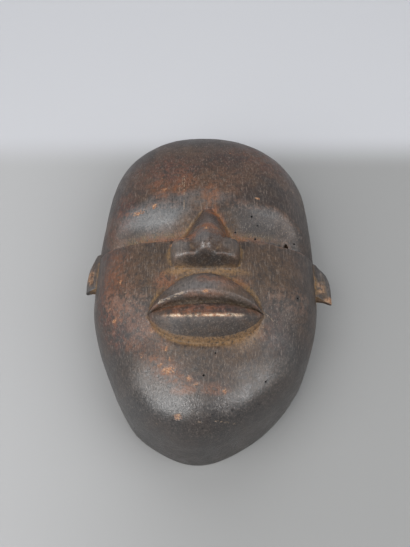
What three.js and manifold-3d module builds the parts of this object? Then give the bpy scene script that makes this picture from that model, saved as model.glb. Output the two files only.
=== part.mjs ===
// Carved wooden face mask, lying on its rim with the face up.
// Millimetres. +Y points from the chin to the crown, +Z out of the face, +X to the mask's own left side.
// The whole mask is carved from one block, so it is one solid: a hollowed shell with a flat rim,
// closed eyes behind a ledge that crosses the face, a block nose, full lips and two low ears.

import * as THREE from "three";
import * as BufferGeometryUtils from "three/addons/utils/BufferGeometryUtils.js";
import Module from "manifold-3d";

// Outline of the shell, seen from above
const HALF_WIDTH = 82;
const WIDEST_Y = -19;
const CROWN_LENGTH = 155;
const CHIN_LENGTH = 107;
const CROWN_SQUARENESS = 2.5;
const CHIN_SQUARENESS = 2.1;
// Fullness of the outline against a plain superellipse, from chin tip (-1) to crown (+1)
const FULLNESS = [[-1, 0.72], [-0.8, 0.9], [-0.4, 0.95], [0, 1], [0.4, 1.015], [0.8, 1.095], [1, 1]];
// Hand-carved sideways drift of the outline, in millimetres
const DRIFT = [[-1, -5.5], [-0.85, -4.6], [-0.5, 0.2], [0, 0], [0.6, 1.6], [1, -1.8]];
// Moves the middle of the bounding box to the origin
const SHIFT_X = -2.2;
const SHIFT_Y = -5;

// Wall and rim
const GIRTH_SIDE = 24;
const GIRTH_CROWN = 24;
const GIRTH_CHIN = 14;
const TUCK_IN = 0.035;
const RIM_WIDTH = 10;
const WALL = 12;
const EYE_RELIEF = 13;
const RELIEF_LENGTH = 26;

// Front of the face: height of its middle along the length, and how boxy the dome is
const FRONT = [
  [-126, 70], [-100, 72], [-65, 77.1], [-46, 79.5], [-12, 82], [12, 81], [45, 81], [85, 80], [136, 76],
];
const BOXINESS = [[-1, 7], [-0.6, 7.6], [-0.25, 4.2], [0.2, 2.7], [0.6, 2.9], [1, 2.9]];
const ROUNDNESS = [[-1, 3.7], [-0.3, 2.65], [0.2, 2.1], [1, 2.5]];
const JAW_FALL = 6.7;
const JAW_POWER = 1.5;
const JAW_FROM = -42;
const JAW_LENGTH = 37;
const JAW_SPREAD = 0.26;

// Ledge across the face and the closed eyes behind it
const LEDGE_Y = 10.5;
const LEDGE_FACE = 2.2;
const LEDGE_DEPTH_MIDDLE = 11;
const LEDGE_DEPTH = 17;
// Depth behind the ledge, as a share of the full depth, from the ledge to the brow
const EYE_PROFILE = [
  [0, 0], [2.2, 0.9], [6, 0.78], [10, 0.69], [14, 0.59], [19, 0.45], [24, 0.28], [29, 0.12],
  [34, 0.01], [39, 0],
];
const BROW_LENGTH = 40;
const LID_CREASE = 29;
const LID_X = 41;
const LID_AHEAD = 16;
const LID_HALF_WIDTH = 27;
const LID_HALF_LENGTH = 14.5;
const LID_RISE = 0.3;
const GROOVE_AHEAD = 2.6;
const GROOVE_DEPTH = 4;

// Pierced eye slits at the foot of the ledge
const SLIT_INNER = 36;
const SLIT_OUTER = 64;
const SLIT_FROM = 1.7;
const SLIT_WIDTH = 2.2;
const SLIT_FLARE_RIGHT = 3.6;
const SLIT_FLARE_LEFT = 1.2;
const SLIT_PIECES = 10;

// Lips, as distances along the face from the mouth line and heights above the cheek
const MOUTH_Y = -46;
const MOUTH_HALF = 39;
const LOWER_LIP_FOOT = -20.3;
const LOWER_LIP_EDGE = -7.8;
const MOUTH_LINE = 4.4;
const UPPER_LIP_EDGE = 8.4;
const UPPER_LIP_CREASE = 28;
const LIP_HEIGHT = 13;
const LIP_BLUNTNESS = 0.85;
const LOWER_LIP_BLUNTNESS = 0.58;

// Nose
const NOSE_BASE_Y = -12.6;
const NOSE_TIP_Y = -9;
const RIDGE_TOP = [
  [-13, 90], [-10, 97], [-6, 101], [-1, 102.5], [5, 100.5],
  [34, 82.3], [39, 78], [44, 70], [75, 10], [140, -60],
];
const RIDGE_WIDTH = [
  [-13, 9], [-9, 10.5], [-4, 12], [3, 13.5], [9, 15], [14, 15.4], [20, 14.8], [30, 13.2], [41, 11],
];
const RIDGE_FALL = 17;
const RIDGE_LEAN = 2;
const WING_X = 13.4;
const WING_Y = -2.2;
const WING_HALF_WIDTH = 10.6;
const WING_HALF_LENGTH = 11.2;
const WING_HEIGHT = 12.5;
const NOSE_BLOCK_HALF = 23.5;
const NOSE_BLOCK_TOP = 91;
const NOSE_FRONT_FILL = 4.5;
const NOSE_FOOT_Z = 81.5;
const UNDERSIDE_SLOPE = 4;

// Ears: thin flaps low on the sides, with a slanting cut at their lower end
const EARS = [
  { side: 1, top: 16, end: -12, reach: 10, slant: 5, edge: 3 },
  { side: -1, top: 23.5, end: -5.5, reach: 5.6, slant: 2.5, edge: 5 },
];
const EAR_ROOT = 6;
const EAR_HIGH = 41;
const EAR_LOW = 30.5;
const EAR_EDGE_Z = 35;
const EAR_SWEEP = 3.6;
const EAR_STATIONS = 9;

// Facets: how many steps lie between the lines that the carving follows
const COLUMN_MARKS = [0, 9, 22, 25, 82];
const COLUMN_STEPS = [3, 3, 1, 13];
const ROW_STEPS = [13, 3, 2, 2, 4, 2, 2, 4, 2, 2, 6, 12];
const WALL_STEPS = 3;
const HOLLOW_COLUMNS = 22;
const HOLLOW_ROWS = 26;
const BISECTIONS = 36;

const WOOD = { color: 0x46352e, roughness: 0.42, metalness: 0 };

function mix(a, b, t) {
  return a + (b - a) * t;
}

function clamp(v, low, high) {
  return Math.min(Math.max(v, low), high);
}

function ease(from, to, v) {
  const t = clamp((v - from) / (to - from), 0, 1);
  return t * t * (3 - 2 * t);
}

function softMax(a, b, width) {
  const h = clamp(0.5 + 0.5 * (a - b) / width, 0, 1);
  return mix(b, a, h) + width * h * (1 - h);
}

function softMin(a, b, width) {
  return -softMax(-a, -b, width);
}

// Smooth curve through (place, value) stations that doesn't overshoot them
function curveThrough(stations, place) {
  const last = stations.length - 1;
  const slopes = [];
  for (let i = 0; i < last; i += 1) {
    slopes.push((stations[i + 1][1] - stations[i][1]) / (stations[i + 1][0] - stations[i][0]));
  }
  const tangentAt = (i) => {
    if (i === 0) return slopes[0];
    if (i === last) return slopes[last - 1];
    const product = slopes[i - 1] * slopes[i];
    return product > 0 ? 2 * product / (slopes[i - 1] + slopes[i]) : 0;
  };
  const v = clamp(place, stations[0][0], stations[last][0]);
  let i = 0;
  while (i < last - 1 && v > stations[i + 1][0]) i += 1;
  const span = stations[i + 1][0] - stations[i][0];
  const t = (v - stations[i][0]) / span;
  const rise = t * t * (3 - 2 * t);
  return mix(stations[i][1], stations[i + 1][1], rise)
    + span * (t * (1 - t) ** 2 * tangentAt(i) - t * t * (1 - t) * tangentAt(i + 1));
}

function squareness(v) {
  return v >= 0 ? CROWN_SQUARENESS : CHIN_SQUARENESS;
}

// Point of the plan from disc coordinates, both within -1 and 1
function plan(u, v) {
  const width = HALF_WIDTH * curveThrough(FULLNESS, v);
  return [width * u + curveThrough(DRIFT, v), WIDEST_Y + (v >= 0 ? CROWN_LENGTH : CHIN_LENGTH) * v];
}

function discRadius(u, v) {
  const power = squareness(v);
  return (Math.abs(u) ** power + Math.abs(v) ** power) ** (1 / power);
}

// Square grid coordinates to disc coordinates, so that grid edges fall on the outline
function discPoint(a, b) {
  const reach = Math.max(Math.abs(a), Math.abs(b));
  const norm = Math.max(discRadius(a, b), 1e-9);
  const scale = 1 - reach ** 1.5 * (1 - reach / norm);
  return [a * scale, b * scale];
}

function girth(u, v) {
  const endness = Math.abs(v) / Math.max(discRadius(u, v), 1e-6);
  return mix(GIRTH_SIDE, v > 0 ? GIRTH_CROWN : GIRTH_CHIN, endness ** 2);
}

function dome(u, v, top) {
  const radius = Math.min(discRadius(u, v), 1);
  return (1 - radius ** curveThrough(BOXINESS, v)) ** (1 / curveThrough(ROUNDNESS, v)) * top;
}

// Fall of the chin to both sides, which gives the jaw its pointed edge
function jaw(x, y) {
  const side = Math.abs(x);
  const start = JAW_FROM + JAW_SPREAD * side;
  return JAW_FALL * (side / 40) ** JAW_POWER * ease(start, start - JAW_LENGTH, y);
}

function ledgeY(x) {
  const t = Math.abs(x) / 80;
  return LEDGE_Y + 8 * t ** 3 - 3 * ease(0.3, 1, x / 80);
}

// How much shorter the eye is towards its outer corner
function lidShare(x) {
  return 1 - 0.4 * ease(46, 78, Math.abs(x));
}

function eyes(x, y) {
  const ahead = y - ledgeY(x);
  const side = Math.abs(x);
  const depth = mix(LEDGE_DEPTH_MIDDLE, LEDGE_DEPTH, ease(12, 30, side)) * mix(1, 0.35, ease(55, 82, side));
  const lidDrop = ahead > 0 ? curveThrough(EYE_PROFILE, ahead / mix(1, lidShare(x), ease(3, 9, ahead))) : 0;
  const softDrop = ease(0, LEDGE_FACE, ahead) * clamp(1 - ahead / BROW_LENGTH, 0, 1) ** 2;
  const drop = mix(softDrop, lidDrop, ease(8, 24, side));
  const across = (Math.abs(side - LID_X) / LID_HALF_WIDTH) ** 2.4;
  const along = (Math.abs(ahead - LID_AHEAD) / LID_HALF_LENGTH) ** 2.4;
  const lid = clamp(1 - across - along, 0, 1) ** 0.9;
  const grooveEnds = ease(14, 24, side) * (1 - ease(60, 80, side));
  const groove = Math.exp(-(((ahead - GROOVE_AHEAD) / 1.6) ** 2)) * grooveEnds;
  return LID_RISE * lid - depth * drop - GROOVE_DEPTH * groove;
}

// How far the lips reach at this place, from 1 in the middle to 0 at the corners
function lens(x, bluntness) {
  const t = clamp(Math.abs(x) / MOUTH_HALF, 0, 1);
  return (1 - t * t) ** bluntness;
}

const LIP_PROFILE = [
  [-24, 0],
  [LOWER_LIP_FOOT - 1, -1],
  [LOWER_LIP_FOOT, 0],
  [LOWER_LIP_FOOT + 1, 2.2],
  [LOWER_LIP_EDGE, LIP_HEIGHT],
  [LOWER_LIP_EDGE + 1.2, LIP_HEIGHT - 0.2],
  [MOUTH_LINE - 1.2, 7.6],
  [MOUTH_LINE, 4],
  [MOUTH_LINE + 0.8, 4.8],
  [UPPER_LIP_EDGE - 1, LIP_HEIGHT - 3.2],
  [UPPER_LIP_EDGE + 3, LIP_HEIGHT - 0.4],
  [16, LIP_HEIGHT - 1.1],
  [UPPER_LIP_CREASE - 4.5, 8.2],
  [UPPER_LIP_CREASE - 1.2, 4.4],
  [UPPER_LIP_CREASE, 0],
  [UPPER_LIP_CREASE + 2, -0.8],
  [UPPER_LIP_CREASE + 5, 0],
];

function lips(x, y) {
  const upper = lens(x, LIP_BLUNTNESS);
  if (upper < 0.02) return 0;
  const reach = y < MOUTH_Y ? lens(x, LOWER_LIP_BLUNTNESS) : upper;
  return curveThrough(LIP_PROFILE, (y - MOUTH_Y) / reach) * upper ** 0.7;
}

function lipLine(x, place) {
  const reach = lens(x, place < 0 ? LOWER_LIP_BLUNTNESS : LIP_BLUNTNESS);
  return MOUTH_Y + place * Math.max(reach, 0.12);
}

function nose(x, y) {
  const side = Math.abs(x);
  const offRidge = Math.abs(x - RIDGE_LEAN * ease(0, 30, y));
  const ridge = curveThrough(RIDGE_TOP, y) - RIDGE_FALL * (offRidge / curveThrough(RIDGE_WIDTH, y)) ** 2;
  const across = (Math.abs(side - WING_X) / WING_HALF_WIDTH) ** 3.4;
  const along = (Math.abs(y - WING_Y) / WING_HALF_LENGTH) ** 3;
  const inside = 1 - across - along;
  const wing = inside > 0 ? NOSE_FOOT_Z + WING_HEIGHT * inside ** (1 / 2.2) : -60;
  const within = Math.min(NOSE_BLOCK_HALF - side, 7 - y);
  const fill = NOSE_FRONT_FILL * ease(20, 12, side) * ease(1, -8, y);
  const block = NOSE_BLOCK_TOP + fill + Math.min(within - 3, 0) * 6;
  const mass = softMax(softMax(ridge, wing, 4.5), block, 2.5);
  return softMin(mass, NOSE_FOOT_Z + (y - NOSE_BASE_Y) * UNDERSIDE_SLOPE, 5);
}

function faceHeight(u, v) {
  const [x, y] = plan(u, v);
  const low = girth(u, v);
  const fade = 1 - ease(0.93, 1, discRadius(u, v));
  const bulk = low + dome(u, v, curveThrough(FRONT, y) - low - jaw(x, y));
  const skin = bulk + lips(x, y) + eyes(x, y) * fade;
  return softMax(skin, nose(x, y), 1.2);
}

// Lines across the face that a row of facet edges follows, from chin to crown
const CARVED_LINES = [
  (x) => lipLine(x, LOWER_LIP_FOOT - 1),
  (x) => lipLine(x, LOWER_LIP_EDGE),
  (x) => lipLine(x, MOUTH_LINE),
  (x) => lipLine(x, UPPER_LIP_EDGE),
  (x) => lipLine(x, UPPER_LIP_CREASE - 1),
  () => NOSE_BASE_Y - 0.3,
  () => NOSE_TIP_Y,
  (x) => ledgeY(x),
  (x) => ledgeY(x) + LEDGE_FACE,
  (x) => ledgeY(x) + GROOVE_AHEAD + 3,
  (x) => ledgeY(x) + LID_CREASE * lidShare(x),
];

function columnPlaces() {
  const right = [0];
  COLUMN_STEPS.forEach((steps, k) => {
    const from = COLUMN_MARKS[k] / HALF_WIDTH;
    const to = COLUMN_MARKS[k + 1] / HALF_WIDTH;
    const outermost = k === COLUMN_STEPS.length - 1;
    for (let i = 1; i <= steps; i += 1) {
      const t = i / steps;
      right.push(mix(from, to, outermost ? mix(t, Math.sin(t * Math.PI / 2), 0.7) : t));
    }
  });
  return [...right.slice(1).reverse().map((a) => -a), ...right];
}

// Where a column of the grid crosses a carved line
function crossing(a, line) {
  let low = -1;
  let high = 1;
  for (let i = 0; i < BISECTIONS; i += 1) {
    const middle = (low + high) / 2;
    const [x, y] = plan(...discPoint(a, middle));
    if (y < line(x)) low = middle;
    else high = middle;
  }
  return (low + high) / 2;
}

function rowPlaces(a) {
  const marks = [-1, ...CARVED_LINES.map((line) => crossing(a, line)), 1];
  const places = [];
  ROW_STEPS.forEach((steps, k) => {
    for (let i = 0; i < steps; i += 1) {
      let t = i / steps;
      if (k === 0) t = mix(t, 1 - Math.cos(t * Math.PI / 2), 0.6);
      if (k === ROW_STEPS.length - 1) t = mix(t, Math.sin(t * Math.PI / 2), 0.6);
      places.push(mix(marks[k], marks[k + 1], t));
    }
  });
  places.push(1);
  return places;
}

// Boundary of a grid, anticlockwise from above
function gridLoop(rows, columns) {
  const loop = [];
  for (let c = 0; c < columns - 1; c += 1) loop.push([0, c]);
  for (let r = 0; r < rows - 1; r += 1) loop.push([r, columns - 1]);
  for (let c = columns - 1; c > 0; c -= 1) loop.push([rows - 1, c]);
  for (let r = rows - 1; r > 0; r -= 1) loop.push([r, 0]);
  return loop;
}

function distance(p, q) {
  return Math.hypot(p[0] - q[0], p[1] - q[1], p[2] - q[2]);
}

// Closed body from a grid of points on top, rings below it and a flat floor
function cupBody(grid, rings, floorZ) {
  const rows = grid.length;
  const columns = grid[0].length;
  const points = grid.flat();
  const index = [];
  for (let r = 0; r < rows - 1; r += 1) {
    for (let c = 0; c < columns - 1; c += 1) {
      const k = r * columns + c;
      const [near, right, far, left] = [k, k + 1, k + columns + 1, k + columns];
      if (distance(points[near], points[far]) < distance(points[right], points[left])) {
        index.push(near, right, far, near, far, left);
      } else {
        index.push(near, right, left, right, far, left);
      }
    }
  }
  const loop = gridLoop(rows, columns);
  let above = loop.map(([r, c]) => r * columns + c);
  for (const ring of rings) {
    const below = ring.map((point) => points.push(point) - 1);
    above.forEach((k, i) => {
      const j = (i + 1) % above.length;
      index.push(k, below[i], below[j], k, below[j], above[j]);
    });
    above = below;
  }
  const centre = points.push([0, WIDEST_Y, floorZ]) - 1;
  above.forEach((k, i) => index.push(k, centre, above[(i + 1) % above.length]));
  return bodyGeometry(points, index);
}

function bodyGeometry(points, index) {
  const geometry = new THREE.BufferGeometry();
  geometry.setAttribute("position", new THREE.Float32BufferAttribute(points.flat(), 3));
  geometry.setIndex(index);
  return geometry;
}

function shellGeometry() {
  const columns = columnPlaces();
  const perColumn = columns.map(rowPlaces);
  const rowCount = perColumn[0].length;
  const disc = [];
  for (let r = 0; r < rowCount; r += 1) disc.push(columns.map((a, c) => discPoint(a, perColumn[c][r])));
  const grid = disc.map((row) => row.map(([u, v]) => [...plan(u, v), faceHeight(u, v)]));
  const loop = gridLoop(rowCount, columns.length);
  const rings = [];
  for (let k = 1; k <= WALL_STEPS; k += 1) {
    const down = k / WALL_STEPS;
    rings.push(loop.map(([r, c]) => {
      const [u, v] = disc[r][c];
      const inward = 1 - TUCK_IN * (1 - v * v) * down * down;
      return [...plan(u * inward, v * inward), grid[r][c][2] * (1 - down)];
    }));
  }
  return cupBody(grid, rings, 0);
}

// The hollow behind the face, a little shallower under the eyes
function hollowGeometry() {
  const shrinkX = 1 - RIM_WIDTH / HALF_WIDTH - TUCK_IN;
  const shrinkY = 1 - RIM_WIDTH / (CHIN_LENGTH + 10);
  const place = (k, count) => {
    const t = -1 + 2 * k / count;
    return mix(t, Math.sin(t * Math.PI / 2), 0.7);
  };
  const grid = [];
  for (let r = 0; r <= HOLLOW_ROWS; r += 1) {
    const row = [];
    for (let c = 0; c <= HOLLOW_COLUMNS; c += 1) {
      const [u, v] = discPoint(place(c, HOLLOW_COLUMNS), place(r, HOLLOW_ROWS));
      const [x, y] = plan(u * shrinkX, v * shrinkY);
      const relief = EYE_RELIEF * Math.exp(-(((y - LEDGE_Y - 6) / RELIEF_LENGTH) ** 2));
      row.push([x, y, dome(u, v, curveThrough(FRONT, y) - jaw(x, y) - WALL - relief)]);
    }
    grid.push(row);
  }
  const outline = gridLoop(HOLLOW_ROWS + 1, HOLLOW_COLUMNS + 1);
  const ring = outline.map(([r, c]) => [grid[r][c][0], grid[r][c][1], -5]);
  return cupBody(grid, [ring], -5);
}

// Body swept through closed sections that all have the same number of points
function sweptGeometry(sections) {
  const count = sections[0].length;
  const points = sections.flat();
  const index = [];
  for (let s = 0; s < sections.length - 1; s += 1) {
    for (let i = 0; i < count; i += 1) {
      const j = (i + 1) % count;
      const k = s * count;
      index.push(k + i, k + j, k + count + j, k + i, k + count + j, k + count + i);
    }
  }
  const end = (sections.length - 1) * count;
  for (let i = 1; i < count - 1; i += 1) {
    index.push(0, i + 1, i);
    index.push(end, end + i, end + i + 1);
  }
  return bodyGeometry(points, index);
}

// Half width of the shell's outline at a place along its length
function outlineAt(y, side) {
  let low = 0;
  let high = 1;
  const v = (y - WIDEST_Y) / (y >= WIDEST_Y ? CROWN_LENGTH : CHIN_LENGTH);
  for (let i = 0; i < BISECTIONS; i += 1) {
    const middle = (low + high) / 2;
    if (discRadius(middle, v) < 1) low = middle;
    else high = middle;
  }
  return plan(side * low, v)[0] * side;
}

function earGeometry({ side, top, end, reach, slant, edge }) {
  const sections = [];
  for (let s = 0; s < EAR_STATIONS; s += 1) {
    const t = s / (EAR_STATIONS - 1);
    const y = mix(top, end, t);
    const shell = outlineAt(y, side);
    const out = 0.4 + reach * (1 - (1 - t) ** EAR_SWEEP);
    const profile = [
      [-EAR_ROOT, EAR_LOW],
      [out * 0.5, EAR_EDGE_Z - edge / 2 - 0.4],
      [out - 1.2, EAR_EDGE_Z - edge / 2],
      [out, EAR_EDGE_Z],
      [out - 1.2, EAR_EDGE_Z + edge / 2],
      [out * 0.5, EAR_EDGE_Z + edge / 2 + 1.2],
      [-EAR_ROOT, EAR_HIGH],
    ];
    sections.push(profile.map(([across, z]) => {
      const lean = slant * t * t * clamp(across / out, 0, 1);
      return [side * (shell + across), y - lean, z];
    }));
  }
  return sweptGeometry(side > 0 ? sections : sections.map((section) => [...section].reverse()));
}

// Cutter for one eye slit, following the foot of the ledge
function slitGeometry(side, flare) {
  const sections = [];
  for (let s = 0; s <= SLIT_PIECES; s += 1) {
    const t = s / SLIT_PIECES;
    const x = side * mix(SLIT_INNER, SLIT_OUTER, t);
    const near = ledgeY(x) + SLIT_FROM;
    const width = SLIT_WIDTH * (0.35 + 0.65 * Math.sin(Math.PI * clamp(t * 1.1, 0, 1)) ** 0.5)
      + flare * Math.exp(-(((t - 0.82) / 0.1) ** 2));
    sections.push([[x, near, 5], [x, near + width, 5], [x, near + width, 72], [x, near, 72]]);
  }
  return sweptGeometry(side > 0 ? sections : sections.map((section) => [...section].reverse()));
}

const wasm = await Module();
wasm.setup();

function toSolid(geometry) {
  const merged = BufferGeometryUtils.mergeVertices(geometry, 1e-4);
  const solid = new wasm.Manifold(new wasm.Mesh({
    numProp: 3,
    vertProperties: new Float32Array(merged.attributes.position.array),
    triVerts: new Uint32Array(merged.index.array),
  }));
  return solid;
}

function toGeometry(solid) {
  const mesh = solid.getMesh();
  const geometry = new THREE.BufferGeometry();
  const position = new Float32Array(mesh.numProp === 3 ? mesh.vertProperties : []);
  geometry.setAttribute("position", new THREE.BufferAttribute(position, 3));
  geometry.setIndex(new THREE.BufferAttribute(new Uint32Array(mesh.triVerts), 1));
  geometry.computeVertexNormals();
  return geometry;
}

let mask = toSolid(shellGeometry());
for (const ear of EARS) mask = mask.add(toSolid(earGeometry(ear)));
mask = mask.subtract(toSolid(hollowGeometry()));
mask = mask.subtract(toSolid(slitGeometry(1, SLIT_FLARE_RIGHT)));
mask = mask.subtract(toSolid(slitGeometry(-1, SLIT_FLARE_LEFT)));

const wood = new THREE.MeshStandardMaterial(WOOD);
const body = new THREE.Mesh(toGeometry(mask), wood);
body.name = "mask";
body.position.set(SHIFT_X, SHIFT_Y, 0);

const group = new THREE.Group();
group.add(body);

export default group;
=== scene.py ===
"""Carved wooden face mask lying on its rim, face up.

The mask is rebuilt here at full fineness from the same named sizes as its solid. They are in millimetres, and
the finished mesh is in metres. x runs to the right, y from the chin to the crown, z out of the face.
"""

import math
from types import SimpleNamespace

import bmesh
import bpy
import numpy as np
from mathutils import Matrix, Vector, noise


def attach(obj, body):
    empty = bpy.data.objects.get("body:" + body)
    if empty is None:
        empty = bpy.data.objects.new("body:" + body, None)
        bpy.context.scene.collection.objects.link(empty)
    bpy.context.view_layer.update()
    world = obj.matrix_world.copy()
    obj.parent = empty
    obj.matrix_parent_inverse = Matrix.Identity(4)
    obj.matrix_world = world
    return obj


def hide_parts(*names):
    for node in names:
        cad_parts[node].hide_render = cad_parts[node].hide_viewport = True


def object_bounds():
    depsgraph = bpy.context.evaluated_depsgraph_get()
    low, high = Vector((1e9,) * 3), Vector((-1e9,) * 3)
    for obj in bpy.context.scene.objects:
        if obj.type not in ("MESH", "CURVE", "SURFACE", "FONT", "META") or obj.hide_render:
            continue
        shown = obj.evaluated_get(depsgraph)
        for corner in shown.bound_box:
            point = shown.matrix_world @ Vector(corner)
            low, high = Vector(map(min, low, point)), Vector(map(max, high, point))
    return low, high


MM = 0.001
# From the middle line of the face to the origin of the frame
SHIFT = (-2.2, -5.0)

# Outline of the shell, seen from above
HALF_WIDTH = 82.0
WIDEST_Y = -19.0
CROWN_LENGTH = 155.0
CHIN_LENGTH = 107.0
CROWN_SQUARENESS = 2.5
CHIN_SQUARENESS = 2.1
FULLNESS = [(-1, 0.72), (-0.8, 0.9), (-0.4, 0.95), (0, 1), (0.4, 1.015), (0.8, 1.095), (1, 1)]
DRIFT = [(-1, -5.5), (-0.85, -4.6), (-0.5, 0.2), (0, 0), (0.6, 1.6), (1, -1.8)]

# Wall and rim
GIRTH_SIDE = 24.0
GIRTH_CROWN = 24.0
GIRTH_CHIN = 14.0
TUCK_IN = 0.035
RIM_WIDTH = 10.0
RIM_ROUNDING = 1.2
WALL = 12.0
EYE_RELIEF = 13.0
RELIEF_AHEAD = 6.0
RELIEF_LENGTH = 26.0
MEAN_END_LENGTH = CHIN_LENGTH + 10.0
# What counts as hollow: as near the middle as this, and at least this far below the front
HOLLOW_EDGE = 0.93
HOLLOW_BELOW = 8.0

# Front of the face
FRONT = [(-126, 70), (-100, 72), (-65, 77.1), (-46, 79.5), (-12, 82), (12, 81), (45, 81), (85, 80), (136, 76)]
BOXINESS = [(-1, 7.0), (-0.6, 7.6), (-0.25, 4.2), (0.2, 2.7), (0.6, 2.9), (1, 2.9)]
ROUNDNESS = [(-1, 3.7), (-0.3, 2.65), (0.2, 2.1), (1, 2.5)]
JAW_FALL = 6.7
JAW_POWER = 1.5
JAW_FROM = -42.0
JAW_LENGTH = 37.0
JAW_SPREAD = 0.26
JAW_SPAN = 40.0

# Ledge across the face and the closed eyes behind it
LEDGE_Y = 10.5
LEDGE_SPAN = 80.0
LEDGE_SWEEP = 8.0
LEDGE_RIGHT_DIP = 3.0
LEDGE_RIGHT_FROM = 0.3
LEDGE_FACE = 2.2
LEDGE_DEPTH_MIDDLE = 11.0
LEDGE_DEPTH = 17.0
LEDGE_END_SHARE = 0.35
LEDGE_DEEPENS = (12.0, 30.0)
LEDGE_FADES = (55.0, 82.0)
EYE_BEGINS = (8.0, 24.0)
EYE_FADES = (0.93, 1.0)
EYE_PROFILE = [
    (0, 0),
    (2.2, 0.9),
    (6, 0.78),
    (10, 0.69),
    (14, 0.59),
    (19, 0.45),
    (24, 0.28),
    (29, 0.12),
    (34, 0.01),
    (39, 0),
]
BROW_LENGTH = 40.0
LID_CREASE = 29.0
LID_X = 41.0
LID_AHEAD = 16.0
LID_HALF_WIDTH = 27.0
LID_HALF_LENGTH = 14.5
LID_RISE = 0.3
LID_SQUARENESS = 2.4
LID_BLUNTNESS = 0.9
LID_SHORTENING = 0.4
LID_SHORTENS = (46.0, 78.0)
LID_STRETCHES = (3.0, 9.0)
GROOVE_AHEAD = 2.6
GROOVE_END = GROOVE_AHEAD + 3.0
GROOVE_WIDTH = 1.6
GROOVE_DEPTH = 4.0
GROOVE_BEGINS = (14.0, 24.0)
GROOVE_FADES = (60.0, 80.0)

# Pierced eye slits at the foot of the ledge
SLIT_INNER = 36.0
SLIT_OUTER = 64.0
SLIT_FROM = 1.7
SLIT_WIDTH = 2.2
SLIT_END_SHARE = 0.35
# By side, right and left: how much wider the slit is near its outer end
SLIT_FLARE = {1: 7.2, -1: 1.2}
SLIT_FLARE_AT = 0.82
SLIT_FLARE_LENGTH = 0.1
SLIT_WOBBLE = 0.25
SLIT_WOBBLE_SIZE = 3
SLIT_BOTTOM = 5
SLIT_TOP = 72
SLIT_STATIONS = 41
SLIT_TAPER_SPEED = 1.1

# Lips
MOUTH_Y = -46.0
MOUTH_HALF = 39.0
LOWER_LIP_FOOT = -20.3
LOWER_LIP_EDGE = -7.8
MOUTH_LINE = 4.4
UPPER_LIP_EDGE = 8.4
UPPER_LIP_CREASE = 28.0
LIP_HEIGHT = 13.0
LIP_BLUNTNESS = 0.85
LOWER_LIP_BLUNTNESS = 0.58
LIP_TAPER = 0.7
LIP_TIP = 0.02
LIP_LEAST_REACH = 0.12

# Nose
NOSE_BASE_Y = -12.6
NOSE_TIP_Y = -9.0
RIDGE_TOP = [
    (-13, 90),
    (-10, 97),
    (-6, 101),
    (-1, 102.5),
    (5, 100.5),
    (34, 82.3),
    (39, 78),
    (44, 70),
    (75, 10),
    (140, -60),
]
RIDGE_WIDTH = [
    (-13, 9),
    (-9, 10.5),
    (-4, 12),
    (3, 13.5),
    (9, 15),
    (14, 15.4),
    (20, 14.8),
    (30, 13.2),
    (41, 11),
]
RIDGE_FALL = 17.0
RIDGE_LEAN = 2.0
RIDGE_LEANS = (0.0, 30.0)
RIDGE_FOOT_Y = 42.0
WING_X = 13.4
WING_Y = -2.2
WING_HALF_WIDTH = 10.6
WING_HALF_LENGTH = 11.2
WING_HEIGHT = 12.5
WING_SQUARENESS_ACROSS = 3.4
WING_SQUARENESS_ALONG = 3
WING_ROUNDNESS = 2.2
NOSE_BLOCK_HALF = 23.5
NOSE_BLOCK_END = 7.0
NOSE_BLOCK_TOP = 91.0
NOSE_BLOCK_BEVEL = 3.0
NOSE_BLOCK_SLOPE = 6.0
NOSE_FRONT_FILL = 4.5
NOSE_FILL_SIDES = (20.0, 12.0)
NOSE_FILL_END = (1.0, -8.0)
NOSE_FOOT_Z = 81.5
UNDERSIDE_SLOPE = 4.0
FAR_BELOW = -60.0

# Widths over which neighbouring forms of the nose run into each other
WING_BLEND = 4.5
BLOCK_BLEND = 2.5
UNDERSIDE_BLEND = 5.0
NOSE_SEAM = 1.2

# Ears
EARS = [
    {"side": 1, "top": 16.0, "end": -12.0, "reach": 10.0, "slant": 5.0, "edge": 3.0},
    {"side": -1, "top": 23.5, "end": -5.5, "reach": 5.6, "slant": 2.5, "edge": 5.0},
]
EAR_ROOT = 6.0
EAR_HIGH = 41.0
EAR_LOW = 30.5
EAR_EDGE_Z = 35.0
EAR_SWEEP = 3.6
EAR_START = 0.4
EAR_BEVEL = 1.2
EAR_EDGE_STEP = 0.4
EAR_SCOOP = 0.6
EAR_SCOOP_REACH = 6
EAR_THICKNESS = 8
EAR_STATIONS = 34
EAR_CURVE_STEPS = 6
# The worn lower end of an ear: how far down it, and how far the section has drawn in
EAR_PLAIN_TO = 0.97
EAR_WORN_END = [(0.985, 0.1), (0.995, 0.35), (1.0, 0.8), (1.0, 1.4)]

# Hand work, as noises of some size and seed: unevenness outside and gouge marks in the hollow
HAND_WAVES = [
    {"height": 0.40, "scale": 26.0, "seed": 1},
    {"height": 0.11, "scale": 9.0, "seed": 2},
    {"height": 0.05, "scale": 3.6, "seed": 3},
]
HAND_WORK_BEGINS = (1.5, 10)
GOUGE = {"scale": 9.0, "seed": 4}
FINE_GOUGE = {"scale": 4.0, "seed": 5}
FINE_GOUGE_SHARE = 0.4
GOUGE_DEPTH = 1.4
GOUGE_BEGINS = (3, 14)
GOUGE_STRETCH = (1.0, 0.35, 1.0)

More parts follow.
